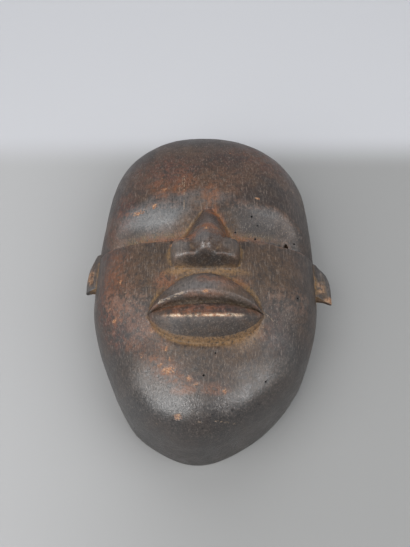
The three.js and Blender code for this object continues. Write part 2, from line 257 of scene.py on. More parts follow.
# Fineness of the mesh
COLUMN_MARKS = [0, 9, 22, 25, 82]
COLUMN_STEPS = [12, 17, 6, 79]
ROW_STEPS = [54, 20, 10, 6, 26, 8, 8, 28, 8, 8, 34, 48]
COLUMN_CROWDING = 0.7
ROW_CROWDING = 0.6
GRID_ROUNDING = 1.5
BISECTIONS = 36
WALL_STEPS = 12
RIM_TURNS = (30, 60, 90)
INNER_STRIDE = 3
SLIVER_WIDTH = 0.01
SHARP_ANGLE = 50
TINY = 1e-9
JUST_INSIDE = 0.999
JUST_OUTSIDE = 1.003
SEED_STEP = (7.31, 3.17, 5.93)


def mix(a, b, t):
    return a + (b - a) * t


def ease(start, stop, v):
    t = np.clip((v - start) / (stop - start), 0, 1)
    return t * t * (3 - 2 * t)


def soft_max(a, b, width):
    h = np.clip(0.5 + 0.5 * (a - b) / width, 0, 1)
    return mix(b, a, h) + width * h * (1 - h)


def soft_min(a, b, width):
    return -soft_max(-a, -b, width)


def bell(away, width):
    return np.exp(-((away / width) ** 2))


def curve_through(stations, place):
    """Smooth curve through (place, value) stations that doesn't overshoot them."""
    x, y = np.array(stations, float).T
    slope = np.diff(y) / np.diff(x)
    product = slope[:-1] * slope[1:]
    total = np.where(product > 0, slope[:-1] + slope[1:], 1.0)
    tangent = np.concatenate([slope[:1], np.where(product > 0, 2 * product / total, 0.0), slope[-1:]])
    v = np.clip(place, x[0], x[-1])
    i = np.clip(np.searchsorted(x, v) - 1, 0, len(x) - 2)
    span = x[i + 1] - x[i]
    t = (v - x[i]) / span
    rise = t * t * (3 - 2 * t)
    bend = t * (1 - t) ** 2 * tangent[i] - t * t * (1 - t) * tangent[i + 1]
    return mix(y[i], y[i + 1], rise) + span * bend


def squareness(v):
    return np.where(v >= 0, CROWN_SQUARENESS, CHIN_SQUARENESS)


def plan(u, v):
    """Point of the plan from disc coordinates within -1 and 1."""
    x = HALF_WIDTH * curve_through(FULLNESS, v) * u + curve_through(DRIFT, v)
    return x, WIDEST_Y + np.where(v >= 0, CROWN_LENGTH, CHIN_LENGTH) * v


def disc_radius(u, v):
    """0 in the middle of the plan and 1 on its outline."""
    power = squareness(v)
    return (np.abs(u) ** power + np.abs(v) ** power) ** (1 / power)


def disc_point(a, b):
    """Square grid coordinates to disc coordinates, so that grid edges fall on the outline."""
    reach = np.maximum(np.abs(a), np.abs(b))
    norm = np.maximum(disc_radius(a, b), TINY)
    scale = 1 - reach ** GRID_ROUNDING * (1 - reach / norm)
    return a * scale, b * scale


def girth(u, v):
    """Height of the upright wall, which is lower at the chin."""
    endness = np.abs(v) / np.maximum(disc_radius(u, v), TINY)
    return mix(GIRTH_SIDE, np.where(v > 0, GIRTH_CROWN, GIRTH_CHIN), endness ** 2)


def dome(u, v, top):
    """Height of the front above its foot: top in the middle and 0 on the outline."""
    radius = np.minimum(disc_radius(u, v), 1)
    return (1 - radius ** curve_through(BOXINESS, v)) ** (1 / curve_through(ROUNDNESS, v)) * top


def jaw(x, y):
    """Fall of the chin to both sides, which gives the jaw its pointed edge."""
    side = np.abs(x)
    start = JAW_FROM + JAW_SPREAD * side
    return JAW_FALL * (side / JAW_SPAN) ** JAW_POWER * ease(start, start - JAW_LENGTH, y)


def ledge_y(x):
    """Where the ledge runs: it sweeps up to both sides, and a little less on the right."""
    out = x / LEDGE_SPAN
    return LEDGE_Y + LEDGE_SWEEP * np.abs(out) ** 3 - LEDGE_RIGHT_DIP * ease(LEDGE_RIGHT_FROM, 1, out)


def lid_share(x):
    """How long the eye is towards its outer corner, as a share of its length in the middle."""
    return 1 - LID_SHORTENING * ease(*LID_SHORTENS, np.abs(x))


def eyes(x, y):
    """What the ledge and the closed eyes behind it add to the height of the front."""
    ahead = y - ledge_y(x)
    side = np.abs(x)
    depth = mix(LEDGE_DEPTH_MIDDLE, LEDGE_DEPTH, ease(*LEDGE_DEEPENS, side))
    depth = depth * mix(1, LEDGE_END_SHARE, ease(*LEDGE_FADES, side))
    stretch = mix(1, lid_share(x), ease(*LID_STRETCHES, ahead))
    lid_drop = np.where(ahead > 0, curve_through(EYE_PROFILE, ahead / stretch), 0)
    soft_drop = ease(0, LEDGE_FACE, ahead) * np.clip(1 - ahead / BROW_LENGTH, 0, 1) ** 2
    drop = mix(soft_drop, lid_drop, ease(*EYE_BEGINS, side))
    across = (np.abs(side - LID_X) / LID_HALF_WIDTH) ** LID_SQUARENESS
    along = (np.abs(ahead - LID_AHEAD) / LID_HALF_LENGTH) ** LID_SQUARENESS
    lid = np.clip(1 - across - along, 0, 1) ** LID_BLUNTNESS
    groove = bell(ahead - GROOVE_AHEAD, GROOVE_WIDTH)
    groove = groove * ease(*GROOVE_BEGINS, side) * (1 - ease(*GROOVE_FADES, side))
    return LID_RISE * lid - depth * drop - GROOVE_DEPTH * groove


def lens(x, bluntness=LIP_BLUNTNESS):
    """How far the lips reach at this place, from 1 in the middle to 0 at the corners."""
    t = np.clip(np.abs(x) / MOUTH_HALF, 0, 1)
    return (1 - t * t) ** bluntness


LIP_PROFILE = [
    (-24, 0),
    (LOWER_LIP_FOOT - 1, -1),
    (LOWER_LIP_FOOT, 0),
    (LOWER_LIP_FOOT + 1, 2.2),
    (LOWER_LIP_EDGE, LIP_HEIGHT),
    (LOWER_LIP_EDGE + 1.2, LIP_HEIGHT - 0.2),
    (MOUTH_LINE - 1.2, 7.6),
    (MOUTH_LINE, 4),
    (MOUTH_LINE + 0.8, 4.8),
    (UPPER_LIP_EDGE - 1, LIP_HEIGHT - 3.2),
    (UPPER_LIP_EDGE + 3, LIP_HEIGHT - 0.4),
    (16, LIP_HEIGHT - 1.1),
    (UPPER_LIP_CREASE - 4.5, 8.2),
    (UPPER_LIP_CREASE - 1.2, 4.4),
    (UPPER_LIP_CREASE, 0),
    (UPPER_LIP_CREASE + 2, -0.8),
    (UPPER_LIP_CREASE + 5, 0),
]


def lips(x, y):
    """What the lips add to the height of the front."""
    reach = np.where(y < MOUTH_Y, lens(x, LOWER_LIP_BLUNTNESS), lens(x))
    height = curve_through(LIP_PROFILE, (y - MOUTH_Y) / np.maximum(reach, LIP_TIP))
    return np.where(lens(x) < LIP_TIP, 0, height * lens(x) ** LIP_TAPER)


def lip_line(x, place):
    """Where a place of the lip profile lies, which all come together towards the corners of the mouth."""
    reach = lens(x, LOWER_LIP_BLUNTNESS if place < 0 else LIP_BLUNTNESS)
    return MOUTH_Y + place * np.maximum(reach, LIP_LEAST_REACH)


def nose(x, y):
    """Height of the nose: a ridge and two wings on a block, cut off at a slope underneath."""
    side = np.abs(x)
    off_ridge = np.abs(x - RIDGE_LEAN * ease(*RIDGE_LEANS, y))
    ridge = curve_through(RIDGE_TOP, y) - RIDGE_FALL * (off_ridge / curve_through(RIDGE_WIDTH, y)) ** 2
    across = (np.abs(side - WING_X) / WING_HALF_WIDTH) ** WING_SQUARENESS_ACROSS
    along = (np.abs(y - WING_Y) / WING_HALF_LENGTH) ** WING_SQUARENESS_ALONG
    inside = 1 - across - along
    swell = np.clip(inside, 0, 1) ** (1 / WING_ROUNDNESS)
    wing = np.where(inside > 0, NOSE_FOOT_Z + WING_HEIGHT * swell, FAR_BELOW)
    within = np.minimum(NOSE_BLOCK_HALF - side, NOSE_BLOCK_END - y)
    fill = NOSE_FRONT_FILL * ease(*NOSE_FILL_SIDES, side) * ease(*NOSE_FILL_END, y)
    block = NOSE_BLOCK_TOP + fill + np.minimum(within - NOSE_BLOCK_BEVEL, 0) * NOSE_BLOCK_SLOPE
    mass = soft_max(soft_max(ridge, wing, WING_BLEND), block, BLOCK_BLEND)
    return soft_min(mass, NOSE_FOOT_Z + (y - NOSE_BASE_Y) * UNDERSIDE_SLOPE, UNDERSIDE_BLEND)


def face_height(u, v):
    """Height of the front at disc coordinates, with all that is carved on it."""
    x, y = plan(u, v)
    low = girth(u, v)
    fade = 1 - ease(*EYE_FADES, disc_radius(u, v))
    bulk = low + dome(u, v, curve_through(FRONT, y) - low - jaw(x, y))
    skin = bulk + lips(x, y) + eyes(x, y) * fade
    return soft_max(skin, nose(x, y), NOSE_SEAM)


# Lines across the face that rows of the grid follow, from the chin to the crown
CARVED_LINES = [
    lambda x: lip_line(x, LOWER_LIP_FOOT - 1),
    lambda x: lip_line(x, LOWER_LIP_EDGE),
    lambda x: lip_line(x, MOUTH_LINE),
    lambda x: lip_line(x, UPPER_LIP_EDGE),
    lambda x: lip_line(x, UPPER_LIP_CREASE - 1),
    lambda x: 0 * x + NOSE_BASE_Y - 0.3,
    lambda x: 0 * x + NOSE_TIP_Y,
    lambda x: ledge_y(x),
    lambda x: ledge_y(x) + LEDGE_FACE,
    lambda x: ledge_y(x) + GROOVE_END,
    lambda x: ledge_y(x) + LID_CREASE * lid_share(x),
]


def column_places():
    """Grid columns, from -1 to 1, denser where the nose ends and towards the outline."""
    right = [0.0]
    for k, steps in enumerate(COLUMN_STEPS):
        t = np.arange(1, steps + 1) / steps
        if k == len(COLUMN_STEPS) - 1:
            t = mix(t, np.sin(t * np.pi / 2), COLUMN_CROWDING)
        right.extend(mix(COLUMN_MARKS[k], COLUMN_MARKS[k + 1], t) / HALF_WIDTH)
    right = np.array(right)
    return np.concatenate([-right[:0:-1], right])


def row_places(a):
    """Grid rows for every column: they run along the carved lines."""
    marks = [np.full_like(a, -1.0)]
    for line in CARVED_LINES:
        low, high = np.full_like(a, -1.0), np.full_like(a, 1.0)
        for _ in range(BISECTIONS):
            middle = (low + high) / 2
            x, y = plan(*disc_point(a, middle))
            low, high = np.where(y < line(x), middle, low), np.where(y < line(x), high, middle)
        marks.append((low + high) / 2)
    marks.append(np.full_like(a, 1.0))
    rows = []
    for k, steps in enumerate(ROW_STEPS):
        for t in np.arange(steps) / steps:
            if k == 0:
                t = mix(t, 1 - math.cos(t * math.pi / 2), ROW_CROWDING)
            if k == len(ROW_STEPS) - 1:
                t = mix(t, math.sin(t * math.pi / 2), ROW_CROWDING)
            rows.append(mix(marks[k], marks[k + 1], t))
    rows.append(marks[-1])
    return np.array(rows)


def grid_loop(grid):
    """Boundary of a grid, anticlockwise from above."""
    return np.concatenate([grid[0, :-1], grid[:-1, -1], grid[-1, :0:-1], grid[:0:-1, 0]])


def grid_faces(ids):
    return np.stack([ids[:-1, :-1], ids[:-1, 1:], ids[1:, 1:], ids[1:, :-1]], -1).reshape(-1, 4)


def band_faces(above, below):
    return np.stack([above, below, np.roll(below, -1), np.roll(above, -1)], -1)


def noise_at(points, scale, seed):
    """Smooth noise between about -1 and 1 at points in millimetres, with one cell every scale millimetres."""
    offset = Vector([seed * step for step in SEED_STEP])
    return np.array([noise.noise(Vector(p) / scale + offset) for p in points.tolist()])


def shell_arrays():
    """Vertices in millimetres and faces of the hollowed shell, without ears and slits."""
    a = column_places()
    b = row_places(a)
    u, v = disc_point(np.broadcast_to(a, b.shape), b)
    x, y = plan(u, v)
    top = np.stack([x, y, face_height(u, v)], -1)
    points = [top.reshape(-1, 3)]
    count = points[0].shape[0]
    ids = np.arange(count).reshape(b.shape)
    quads = [grid_faces(ids)]
    loop_u, loop_v, loop_z = grid_loop(u), grid_loop(v), grid_loop(top[..., 2])
    above = grid_loop(ids)

    def add_ring(ring):
        nonlocal count, above
        points.append(ring)
        below = np.arange(count, count + len(ring))
        count += len(ring)
        quads.append(band_faces(above, below))
        above = below

    def wall_ring(z, inward_mm):
        down = 1 - z / loop_z
        scale = 1 - TUCK_IN * (1 - loop_v ** 2) * down ** 2 - inward_mm / HALF_WIDTH
        rx, ry = plan(loop_u * scale, loop_v * scale)
        return np.stack([rx, ry, z + 0 * rx], -1)

    for k in range(1, WALL_STEPS + 1):
        add_ring(wall_ring(mix(loop_z, RIM_ROUNDING, k / WALL_STEPS), 0.0))
    for turn in RIM_TURNS:
        angle = math.radians(turn)
        up, inward = RIM_ROUNDING * (1 - math.sin(angle)), RIM_ROUNDING * (1 - math.cos(angle))
        add_ring(wall_ring(up + 0 * loop_z, inward))

    # Rim and hollow, on a coarser grid that shares every third place of the fine one
    shrink_x = 1 - RIM_WIDTH / HALF_WIDTH - TUCK_IN
    shrink_y = 1 - RIM_WIDTH / MEAN_END_LENGTH
    ui, vi = u[::INNER_STRIDE, ::INNER_STRIDE], v[::INNER_STRIDE, ::INNER_STRIDE]
    xi, yi = plan(ui * shrink_x, vi * shrink_y)
    eye_relief = EYE_RELIEF * bell(yi - LEDGE_Y - RELIEF_AHEAD, RELIEF_LENGTH)
    zi = dome(ui, vi, curve_through(FRONT, yi) - jaw(xi, yi) - WALL - eye_relief)
    inner = np.stack([xi, yi, zi], -1)
    inner_ids = np.arange(count, count + ui.size).reshape(ui.shape)
    flat = inner.reshape(-1, 3)
    gouges = np.abs(noise_at(flat * np.array(GOUGE_STRETCH), **GOUGE))
    gouges = gouges + FINE_GOUGE_SHARE * noise_at(flat, **FINE_GOUGE)
    flat[:, 2] = np.maximum(flat[:, 2] - GOUGE_DEPTH * gouges * ease(*GOUGE_BEGINS, flat[:, 2]), 0)
    points.append(flat)
    quads.append(grid_faces(inner_ids)[:, ::-1])
    rim = grid_loop(inner_ids)
    triangles = []
    for j, corner in enumerate(rim):
        fine = above[np.arange(j * INNER_STRIDE, (j + 1) * INNER_STRIDE + 1) % len(above)]
        triangles += [(fine[i], corner, fine[i + 1]) for i in range(INNER_STRIDE)]
        triangles.append((fine[INNER_STRIDE], corner, rim[(j + 1) % len(rim)]))
    return np.concatenate(points), np.concatenate(quads), np.array(triangles)


def mesh_from(name, points, faces):
    """Mesh in metres from points in millimetres."""
    mesh = bpy.data.meshes.new(name)
    mesh.from_pydata((points * MM).tolist(), [], [tuple(int(i) for i in face) for face in faces])
    mesh.update()
    return mesh


def add_object(name, data):
    """Object in the scene for a mesh, a light or a camera."""
    obj = bpy.data.objects.new(name, data)
    bpy.context.scene.collection.objects.link(obj)
    return obj


def object_from(name, shape):
    """Object in the scene for a bmesh, which it uses up."""
    mesh = bpy.data.meshes.new(name)
    shape.to_mesh(mesh)
    shape.free()
    return add_object(name, mesh)


def outline_at(y, side):
    """Half width of the shell's outline at a place along its length."""
    v = (y - WIDEST_Y) / (CROWN_LENGTH if y >= WIDEST_Y else CHIN_LENGTH)
    power = float(squareness(v))
    u = (1 - abs(v) ** power) ** (1 / power)
    return float(plan(side * u, v)[0]) * side


def closed_curve(points, steps):
    """Smooth closed curve through points, with this many steps between two of them."""
    p = np.array(points, float)
    before, after, beyond = np.roll(p, 1, 0), np.roll(p, -1, 0), np.roll(p, -2, 0)
    curve = []
    for t in np.arange(steps) / steps:
        bend = (before * (-t + 2 * t ** 2 - t ** 3) + p * (2 - 5 * t ** 2 + 3 * t ** 3)
                + after * (t + 4 * t ** 2 - 3 * t ** 3) + beyond * (t ** 3 - t ** 2)) / 2
        curve.append(bend)
    return np.stack(curve, 1).reshape(-1, 2)


def ear_object(side, top, end, reach, slant, edge):
    """One ear: a thin flap swept down the side, with a slanting cut at its lower end."""
    stations = [(t, 0.0) for t in np.linspace(0, EAR_PLAIN_TO, EAR_STATIONS)] + EAR_WORN_END
    half_edge = edge / 2
    sections = []
    for t, inset in stations:
        y = mix(top, end, t)
        shell = outline_at(y, side)
        out = EAR_START + reach * (1 - (1 - t) ** EAR_SWEEP)
        scoop = EAR_SCOOP * min(out / EAR_SCOOP_REACH, 1)
        profile = [
            (-EAR_ROOT, EAR_LOW),
            (out * 0.5, EAR_EDGE_Z - half_edge - EAR_EDGE_STEP),
            (out - EAR_BEVEL, EAR_EDGE_Z - half_edge),
            (out, EAR_EDGE_Z),
            (out - EAR_BEVEL, EAR_EDGE_Z + half_edge),
            (out * 0.5, EAR_EDGE_Z + half_edge + EAR_BEVEL - scoop),
            (-EAR_ROOT, EAR_HIGH),
        ]
        ring = closed_curve(profile, EAR_CURVE_STEPS)
        middle = ring.mean(0)
        ring = middle + (ring - middle) * (1 - inset / EAR_THICKNESS)
        lean = slant * t * t * np.clip(ring[:, 0] / out, 0, 1)
        sections.append(np.stack([side * (shell + ring[:, 0]), y - lean, ring[:, 1]], -1))
    return swept_object("ear", sections, side)


def slit_object(side, flare):
    """Cutter for one eye slit, along the foot of the ledge and wider near its outer end."""
    sections = []
    for t in np.linspace(0, 1, SLIT_STATIONS):
        x = side * mix(SLIT_INNER, SLIT_OUTER, t)
        near = float(ledge_y(x)) + SLIT_FROM
        taper = math.sqrt(math.sin(math.pi * min(t * SLIT_TAPER_SPEED, 1)))
        width = SLIT_WIDTH * mix(SLIT_END_SHARE, 1, taper)
        width += flare * bell(t - SLIT_FLARE_AT, SLIT_FLARE_LENGTH)
        near += SLIT_WOBBLE * noise.noise(Vector((x / SLIT_WOBBLE_SIZE, side, 0)))
        far = near + width
        corners = [(near, SLIT_BOTTOM), (far, SLIT_BOTTOM), (far, SLIT_TOP), (near, SLIT_TOP)]
        sections.append(np.array([(x, y, z) for y, z in corners]))
    return swept_object("slit", sections, side)


def swept_object(name, sections, side):
    """Closed body through a row of sections with equally many points, turned round on the left side."""
    sections = [section[::side] for section in sections]
    count = len(sections[0])
    faces = []
    for s in range(len(sections) - 1):
        for i in range(count):
            j = (i + 1) % count
            faces.append((s * count + i, s * count + j, (s + 1) * count + j, (s + 1) * count + i))
    faces.append(tuple(range(count))[::-1])
    faces.append(tuple(range((len(sections) - 1) * count, len(sections) * count)))
    return add_object(name, mesh_from(name, np.concatenate(sections), faces))


def combine(target, tool, operation):
    """Joins or cuts target with tool, and removes tool."""
    step = target.modifiers.new("combine", "BOOLEAN")
    step.operation = operation
    step.solver = "EXACT"
    step.object = tool
    graph = bpy.context.evaluated_depsgraph_get()
    mesh = bpy.data.meshes.new_from_object(target.evaluated_get(graph))
    target.modifiers.clear()
    target.data = mesh
    bpy.data.objects.remove(tool)


def drop_slivers(mesh):
    """Takes out the thin folds that the cuts leave: faces without area, and pairs that lie on each other."""
    shape = bmesh.new()
    shape.from_mesh(mesh)
    bmesh.ops.dissolve_degenerate(shape, dist=SLIVER_WIDTH * MM, edges=shape.edges)
    bmesh.ops.triangulate(shape, faces=[face for face in shape.faces if len(face.verts) > 4])
    on_same_corners = {}
    for face in shape.faces:
        on_same_corners.setdefault(frozenset(face.verts), []).append(face)
    folds = [face for faces in on_same_corners.values() if len(faces) > 1 for face in faces]
    bmesh.ops.delete(shape, geom=folds, context="FACES")
    shape.to_mesh(mesh)
    shape.free()


# Insect holes: place on the face and radius
INSECT_HOLES = [
    (33.6, 35.7, 0.75),
    (37.7, 30.4, 0.7),
    (36, 20.9, 0.7),
    (21.5, 23.6, 0.6),
    (65.2, 23.2, 0.75),
    (63.7, -29, 0.75),
    (6.5, -73.4, 0.6),
    (-1.3, -88.2, 0.75),
    (39.8, -88.4, 0.7),
]
HOLE_DEPTH = 4.0
HOLE_TAPER = 0.8
HOLE_SIDES = 14

# Places where the dark patina is rubbed through to red-brown wood: x, y, half sizes, strength
RUBBED = [
    (-28, 78, 24, 17, 0.5),
    (-60, 46, 9, 16, 0.6),
    (-60, -25, 14, 30, 1),
    (46, -54, 10, 15, 0.3),
    (-46, -50, 11, 12, 0.6),
    (-56, -52, 12, 12, 0.6),
    (-26, -82, 12, 7, 0.7),
    (-70, 25, 8, 26, 0.5),
    (8, 70, 20, 34, 0.25),
    (0, -50, 26, 5, 0.9),
    (2, -93, 13, 6, 0.4),
    (44, 100, 26, 22, 0.35),
]
# Places with ochre dust: x, y, half sizes, strength
DUSTY = [
    (-38, -14, 26, 24, 0.9),
    (38, -16, 24, 22, 0.8),
    (0, -78, 46, 20, 0.7),
    (0, -14.5, 30, 4, 1),
    (0, -68, 34, 9, 0.75),
    (16, -74, 16, 7, 0.8),
    (-2, -84, 34, 14, 0.45),
    (16, 28, 8, 16, 0.9),
    (-14, 22, 7, 14, 0.7),
    (0, 46, 12, 9, 0.6),
    (-30, -58, 10, 10, 0.6),
    (32, -56, 10, 10, 0.6),
    (6, 60, 16, 24, 0.35),
]
# Handled wood on the ears, tan where it is most worn: x, y, half sizes, strength
EAR_WEAR = [
    (84.5, -4.5, 3.5, 5, 0.7),
    (91.5, -14.5, 4.5, 3.5, 1),
    (-84.5, 4, 4, 6, 0.9),
]
# Orange-brown wood along rubbed edges and in the corners beside the nose: x, y, half sizes, strength
ORANGE = [
    (6.5, 33, 4, 3, 1),
    (11.5, 28.5, 3, 6, 1),
    (15.5, 18, 2, 5, 0.8),
    (14, -27, 10, 6, 0.5),
    (-24, -44, 14, 2.5, 0.7),
    (-24, 13.5, 8, 1.8, 0.6),
    (-12, -91, 9, 4, 0.6),
    (-25, -83, 5, 4, 0.8),
    (-34, -75, 7, 2.6, 0.6),
    (-43, -65, 6, 3, 0.6),
    (-14, 66, 8, 10, 0.35),
    (4, 52, 6, 10, 0.5),
    (-65, -12, 6, 24, 0.4),
    (-14, 6, 9, 4, 1),
    (3, 9, 9, 3.5, 0.5),
    (4, 38, 5, 4, 0.8),
    (17, 10.5, 7, 3.5, 0.7),
    (-27, -22, 8, 7, 1),
    (-19, 57, 6, 5, 0.7),
    (-58, -42, 6, 5, 0.7),
    (-44, -52, 5, 7, 0.7),
    (-50, -61, 5, 6, 0.6),
    (-42, -70, 6, 4, 0.5),
    (-21, -88, 8, 4, 0.7),
    (-38, -57, 5, 7, 0.5),
    (-2, -37.5, 13, 2.5, 0.4),
    (-14, -50.5, 12, 2.5, 0.7),
    (-14, -96.5, 8, 3, 0.7),
    (6, -97, 9, 3, 0.55),
    (-31, -66, 6, 4.5, 0.6),
    (-48, -43, 6, 7, 0.7),
    (-6, -52.5, 18, 2, 0.7),
    (1, -26, 7, 3.5, 0.5),
    (22, -24, 8, 4, 0.6),
    (3, 13, 8, 3.5, 0.7),
    (39, -57, 5, 5, 0.4),
    (33, -46, 5, 4, 0.4),
    (-28, 17, 16, 4, 0.8),
    (30, 17, 18, 4.5, 0.9),
    (-34, 62, 8, 8, 0.3),
    (-46, -48, 8, 10, 0.5),
    (-20.3, -49.5, 3.4, 1.6, 1),
    (3, -47.7, 4, 1.6, 0.7),
    (-59.5, -18, 4, 7, 0.6),
    (-32, 54, 6, 6, 0.5),
]
# Grey bloom and painted sheen on the polished swellings that face the lights, on lids, brow, chin, nose and
# ears: x, y, half sizes, strength
BLOOM_AND_SHEEN = [
    (-38, 39, 26, 10, 1),
    (-4, 50, 22, 7, 0.8),
    (-30, 51, 12, 5, 0.6),
    (42, 41, 14, 4, 0.35),
    (34, -86, 16, 8, 0.9),
    (-19, -3, 8, 10, 1),
    (-2, 3, 5, 7, 0.8),
    (18, 0, 7, 5, 0.5),
    (-34, -93, 24, 16, 0.8),
    (50, -70, 12, 16, 0.6),
    (90, 2, 8, 14, 0.5),
    (-87, 12, 6, 10, 0.4),
    (-87, -6, 6, 5, 0.8),
]
# Painted sheen on the faces of the lips: x, y, half sizes, strength
LIP_SHEEN = [
    (-12, -28, 30, 8, 1),
    (-30, -60, 13, 9, 0.9),
]
# Darkest patina, where hands seldom rub it, with painted shade under the nose and the lips, round the mouth,
# on the cheeks, the chin and the lids: x, y, half sizes, strength
SHADED = [
    (2, -10.5, 22, 3.5, 1),
    (4, -58, 30, 9, 1),
    (-26, -52, 14, 4, 0.8),
    (28, -51, 12, 4, 1),
    (-44, -40, 10, 18, 1),
    (-38, -66, 9, 8, 0.9),
    (46, -42, 14, 18, 0.8),
    (44, -64, 12, 9, 0.8),
    (-12, -88, 24, 9, 1),
    (24, 36, 12, 12, 0.8),
    (48, 27, 20, 8, 0.7),
    (-55, 33, 10, 9, 0.9),
    (-14, -4, 5, 4, 0.8),
    (-34, -10, 24, 24, 0.7),
    (38, -8, 22, 26, 0.6),
    (-52, -30, 14, 16, 0.4),
    (-48, -54, 11, 14, 0.7),
    (48, -54, 14, 18, 0.9),
    (30, -72, 18, 8, 0.5),
    (4, -84, 40, 14, 0.8),
    (44, 10, 26, 5, 0.5),
]
# Tan dust heaped under the nose: x, y, half sizes, strength
HEAPED = [
    (-19, -15, 9, 3, 1),
    (0, -15, 14, 2, 0.6),
    (18, -15, 12, 2.6, 0.8),
]
# Chips that show bare wood: x, y, half sizes, brightness
CHIPS = [
    (-24.4, -83.3, 4.4, 4, 1),
    (-31, -80, 3.6, 2.2, 0.8),
    (-38, -76, 3.4, 2, 0.7),
    (-43, -72, 2.6, 2.4, 0.6),
    (-11, -90, 4, 4, 0.6),
    (-6, -94, 4.4, 2.6, 0.55),
    (12.6, -97.5, 1.9, 2.4, 0.9),
    (-18, -112.4, 6, 2.8, 0.75),
    (-48.8, 41.6, 7, 2.2, 1),
    (-36.6, 43.7, 2.4, 2.6, 0.9),
    (-29.8, 58.9, 3.2, 3.2, 0.7),
    (38, 51, 2.6, 2, 0.9),
    (-59, -18.1, 2.8, 3.6, 0.7),
    (-68, 2.4, 1.6, 4, 0.4),
    (-62, -44, 3.4, 3, 0.6),
    (-66, -36, 2, 5, 0.5),
    (-36, -57, 1.8, 3.8, 0.6),
    (-26, -68.5, 1.4, 3.4, 0.9),
    (-24, -75, 1.4, 3.6, 0.8),
    (0, -36.4, 5, 1.8, 0.6),
    (-22, 7, 4, 1.6, 0.9),
    (-15, 5, 3, 2, 0.8),
    (20, 5.5, 3, 1.6, 0.9),
    (0.5, 9.5, 2.2, 3, 0.8),
    (42.3, 90.4, 1.6, 1.8, 0.5),
    (45.4, 88.6, 1.2, 1.6, 0.5),
    (29.3, 101.3, 1.6, 2, 0.5),
    (18.7, 99, 1.4, 1.6, 0.45),
    (-35.3, 50.9, 2.2, 2.6, 0.5),
]
# Pale scratches: start and end on the face, half width
SCRATCHES = [
    ((-7.4, -115.1), (-2.5, -116), 0.5),
    ((6.3, -114.8), (19.6, -114.4), 0.4),
    ((-15.7, 71.9), (-15.5, 39.5), 0.45),
    ((40, -44), (49, -51), 0.3),
    ((42, -38), (46, -47), 0.25),
    ((-31, -41), (-14.5, -36.9), 0.9),
    ((-16.8, 68), (-17.6, 58), 0.3),
    ((-18.6, 64), (-19.6, 52), 0.3),
]
# Growth rings that show on the ball of the nose
RING_CENTRE = (0.5, 8.0)
RING_SQUASH = 1.25
RING_TILT = 0.5

# Zones of the face for the wear, in millimetres, and as shares of the way from the middle to the outline
RIDGE_HALF_WIDTH = 14.5
RIDGE_NARROWING = 0.42
RIDGE_FROM_Y = 14.0
EAR_ZONE_X = 70
EAR_ZONE_Y = (-25, 30)
EAR_CUT_Z = (28, 44)
WALL_BEGINS = (0.86, 0.94)
LOW_WALL_Z = (12, 66)
LEDGE_FOOT_Z = 30
CHIN_GLOSS_Y = (-58, -94)
RING_REACH = (19, 12)

# How the mesh's own relief is read: rounds of smoothing, and the depths that count in full
FINE_ROUNDS = 10
BROAD_ROUNDS = 60
FINE_RECESS = 0.35
BROAD_RECESS = 1.6
FINE_EDGE = 0.30
# A distance, as a multiple of a radius or half width, at which nothing shows
FAR = 9.0


def face_coordinates(points):
    """Disc coordinates of points of the plan, in millimetres before the shift to the origin."""
    v = (points[:, 1] - WIDEST_Y) / np.where(points[:, 1] >= WIDEST_Y, CROWN_LENGTH, CHIN_LENGTH)
    u = (points[:, 0] - curve_through(DRIFT, v)) / (HALF_WIDTH * curve_through(FULLNESS, v))
    return u, v


def in_hollow(points):
    """Whether points of the shell lie on the inner side of its wall."""
    u, v = face_coordinates(points)
    top = face_height(np.clip(u, -JUST_INSIDE, JUST_INSIDE), v)
    return (points[:, 2] < top - HOLLOW_BELOW) & (disc_radius(u, v) < HOLLOW_EDGE)


def surface_z(x, y):
    u, v = face_coordinates(np.array([[x, y]], float))
    return float(face_height(u, v)[0])


def hole_cutter():
    """All insect holes as one cutter: short round bars set square to the surface."""
    shape = bmesh.new()
    for x, y, radius in INSECT_HOLES:
        z = surface_z(x, y)
        slope_x = (surface_z(x + 1, y) - surface_z(x - 1, y)) / 2
        slope_y = (surface_z(x, y + 1) - surface_z(x, y - 1)) / 2
        outward = Vector((-slope_x, -slope_y, 1)).normalized()
        made = bmesh.ops.create_cone(shape, cap_ends=True, segments=HOLE_SIDES, depth=2 * HOLE_DEPTH,
                                     radius1=radius * HOLE_TAPER, radius2=radius)
        turn = outward.to_track_quat("Z", "Y").to_matrix()
        bmesh.ops.rotate(shape, verts=made["verts"], cent=(0, 0, 0), matrix=turn)
        bmesh.ops.translate(shape, verts=made["verts"], vec=(x, y, z))
    bmesh.ops.scale(shape, vec=(MM, MM, MM), verts=shape.verts)
    return object_from("holes", shape)


def hand_carved(points):
    """Slight unevenness of a hand-worked and handled surface, in millimetres."""
    return sum(wave["height"] * noise_at(points, wave["scale"], wave["seed"]) for wave in HAND_WAVES)


def read_all(items, what, width, kind=np.float32):
    """One property of all items of a mesh, as an array with this many columns."""
    data = np.empty(len(items) * width, kind)
    items.foreach_get(what, data)
    return data.reshape(-1, width)


def vertex_places(mesh):
    return read_all(mesh.vertices, "co", 3).astype(float)


def vertex_normals(mesh):
    return read_all(mesh.vertex_normals, "vector", 3)


def smoothed(values, edges, degree, rounds):
    """Values of the vertices after being drawn halfway to the mean of their neighbours, again and again."""
    for _ in range(rounds):
        total = np.zeros_like(values)
        np.add.at(total, edges[:, 0], values[edges[:, 1]])
        np.add.at(total, edges[:, 1], values[edges[:, 0]])
        values = 0.5 * values + 0.5 * total / (degree[:, None] if values.ndim > 1 else degree)
    return values


def relief(mesh, rounds):
    """How far each vertex stands below (+) or above (-) its smoothed surroundings, in millimetres."""
    points = vertex_places(mesh) / MM
    edges = read_all(mesh.edges, "vertices", 2, np.int32)
    degree = np.maximum(np.bincount(edges.ravel(), minlength=len(points)), 1).astype(float)
    around = smoothed(points, edges, degree, rounds)
    depth = ((around - points) * vertex_normals(mesh)).sum(1)
    return smoothed(depth, edges, degree, 1)


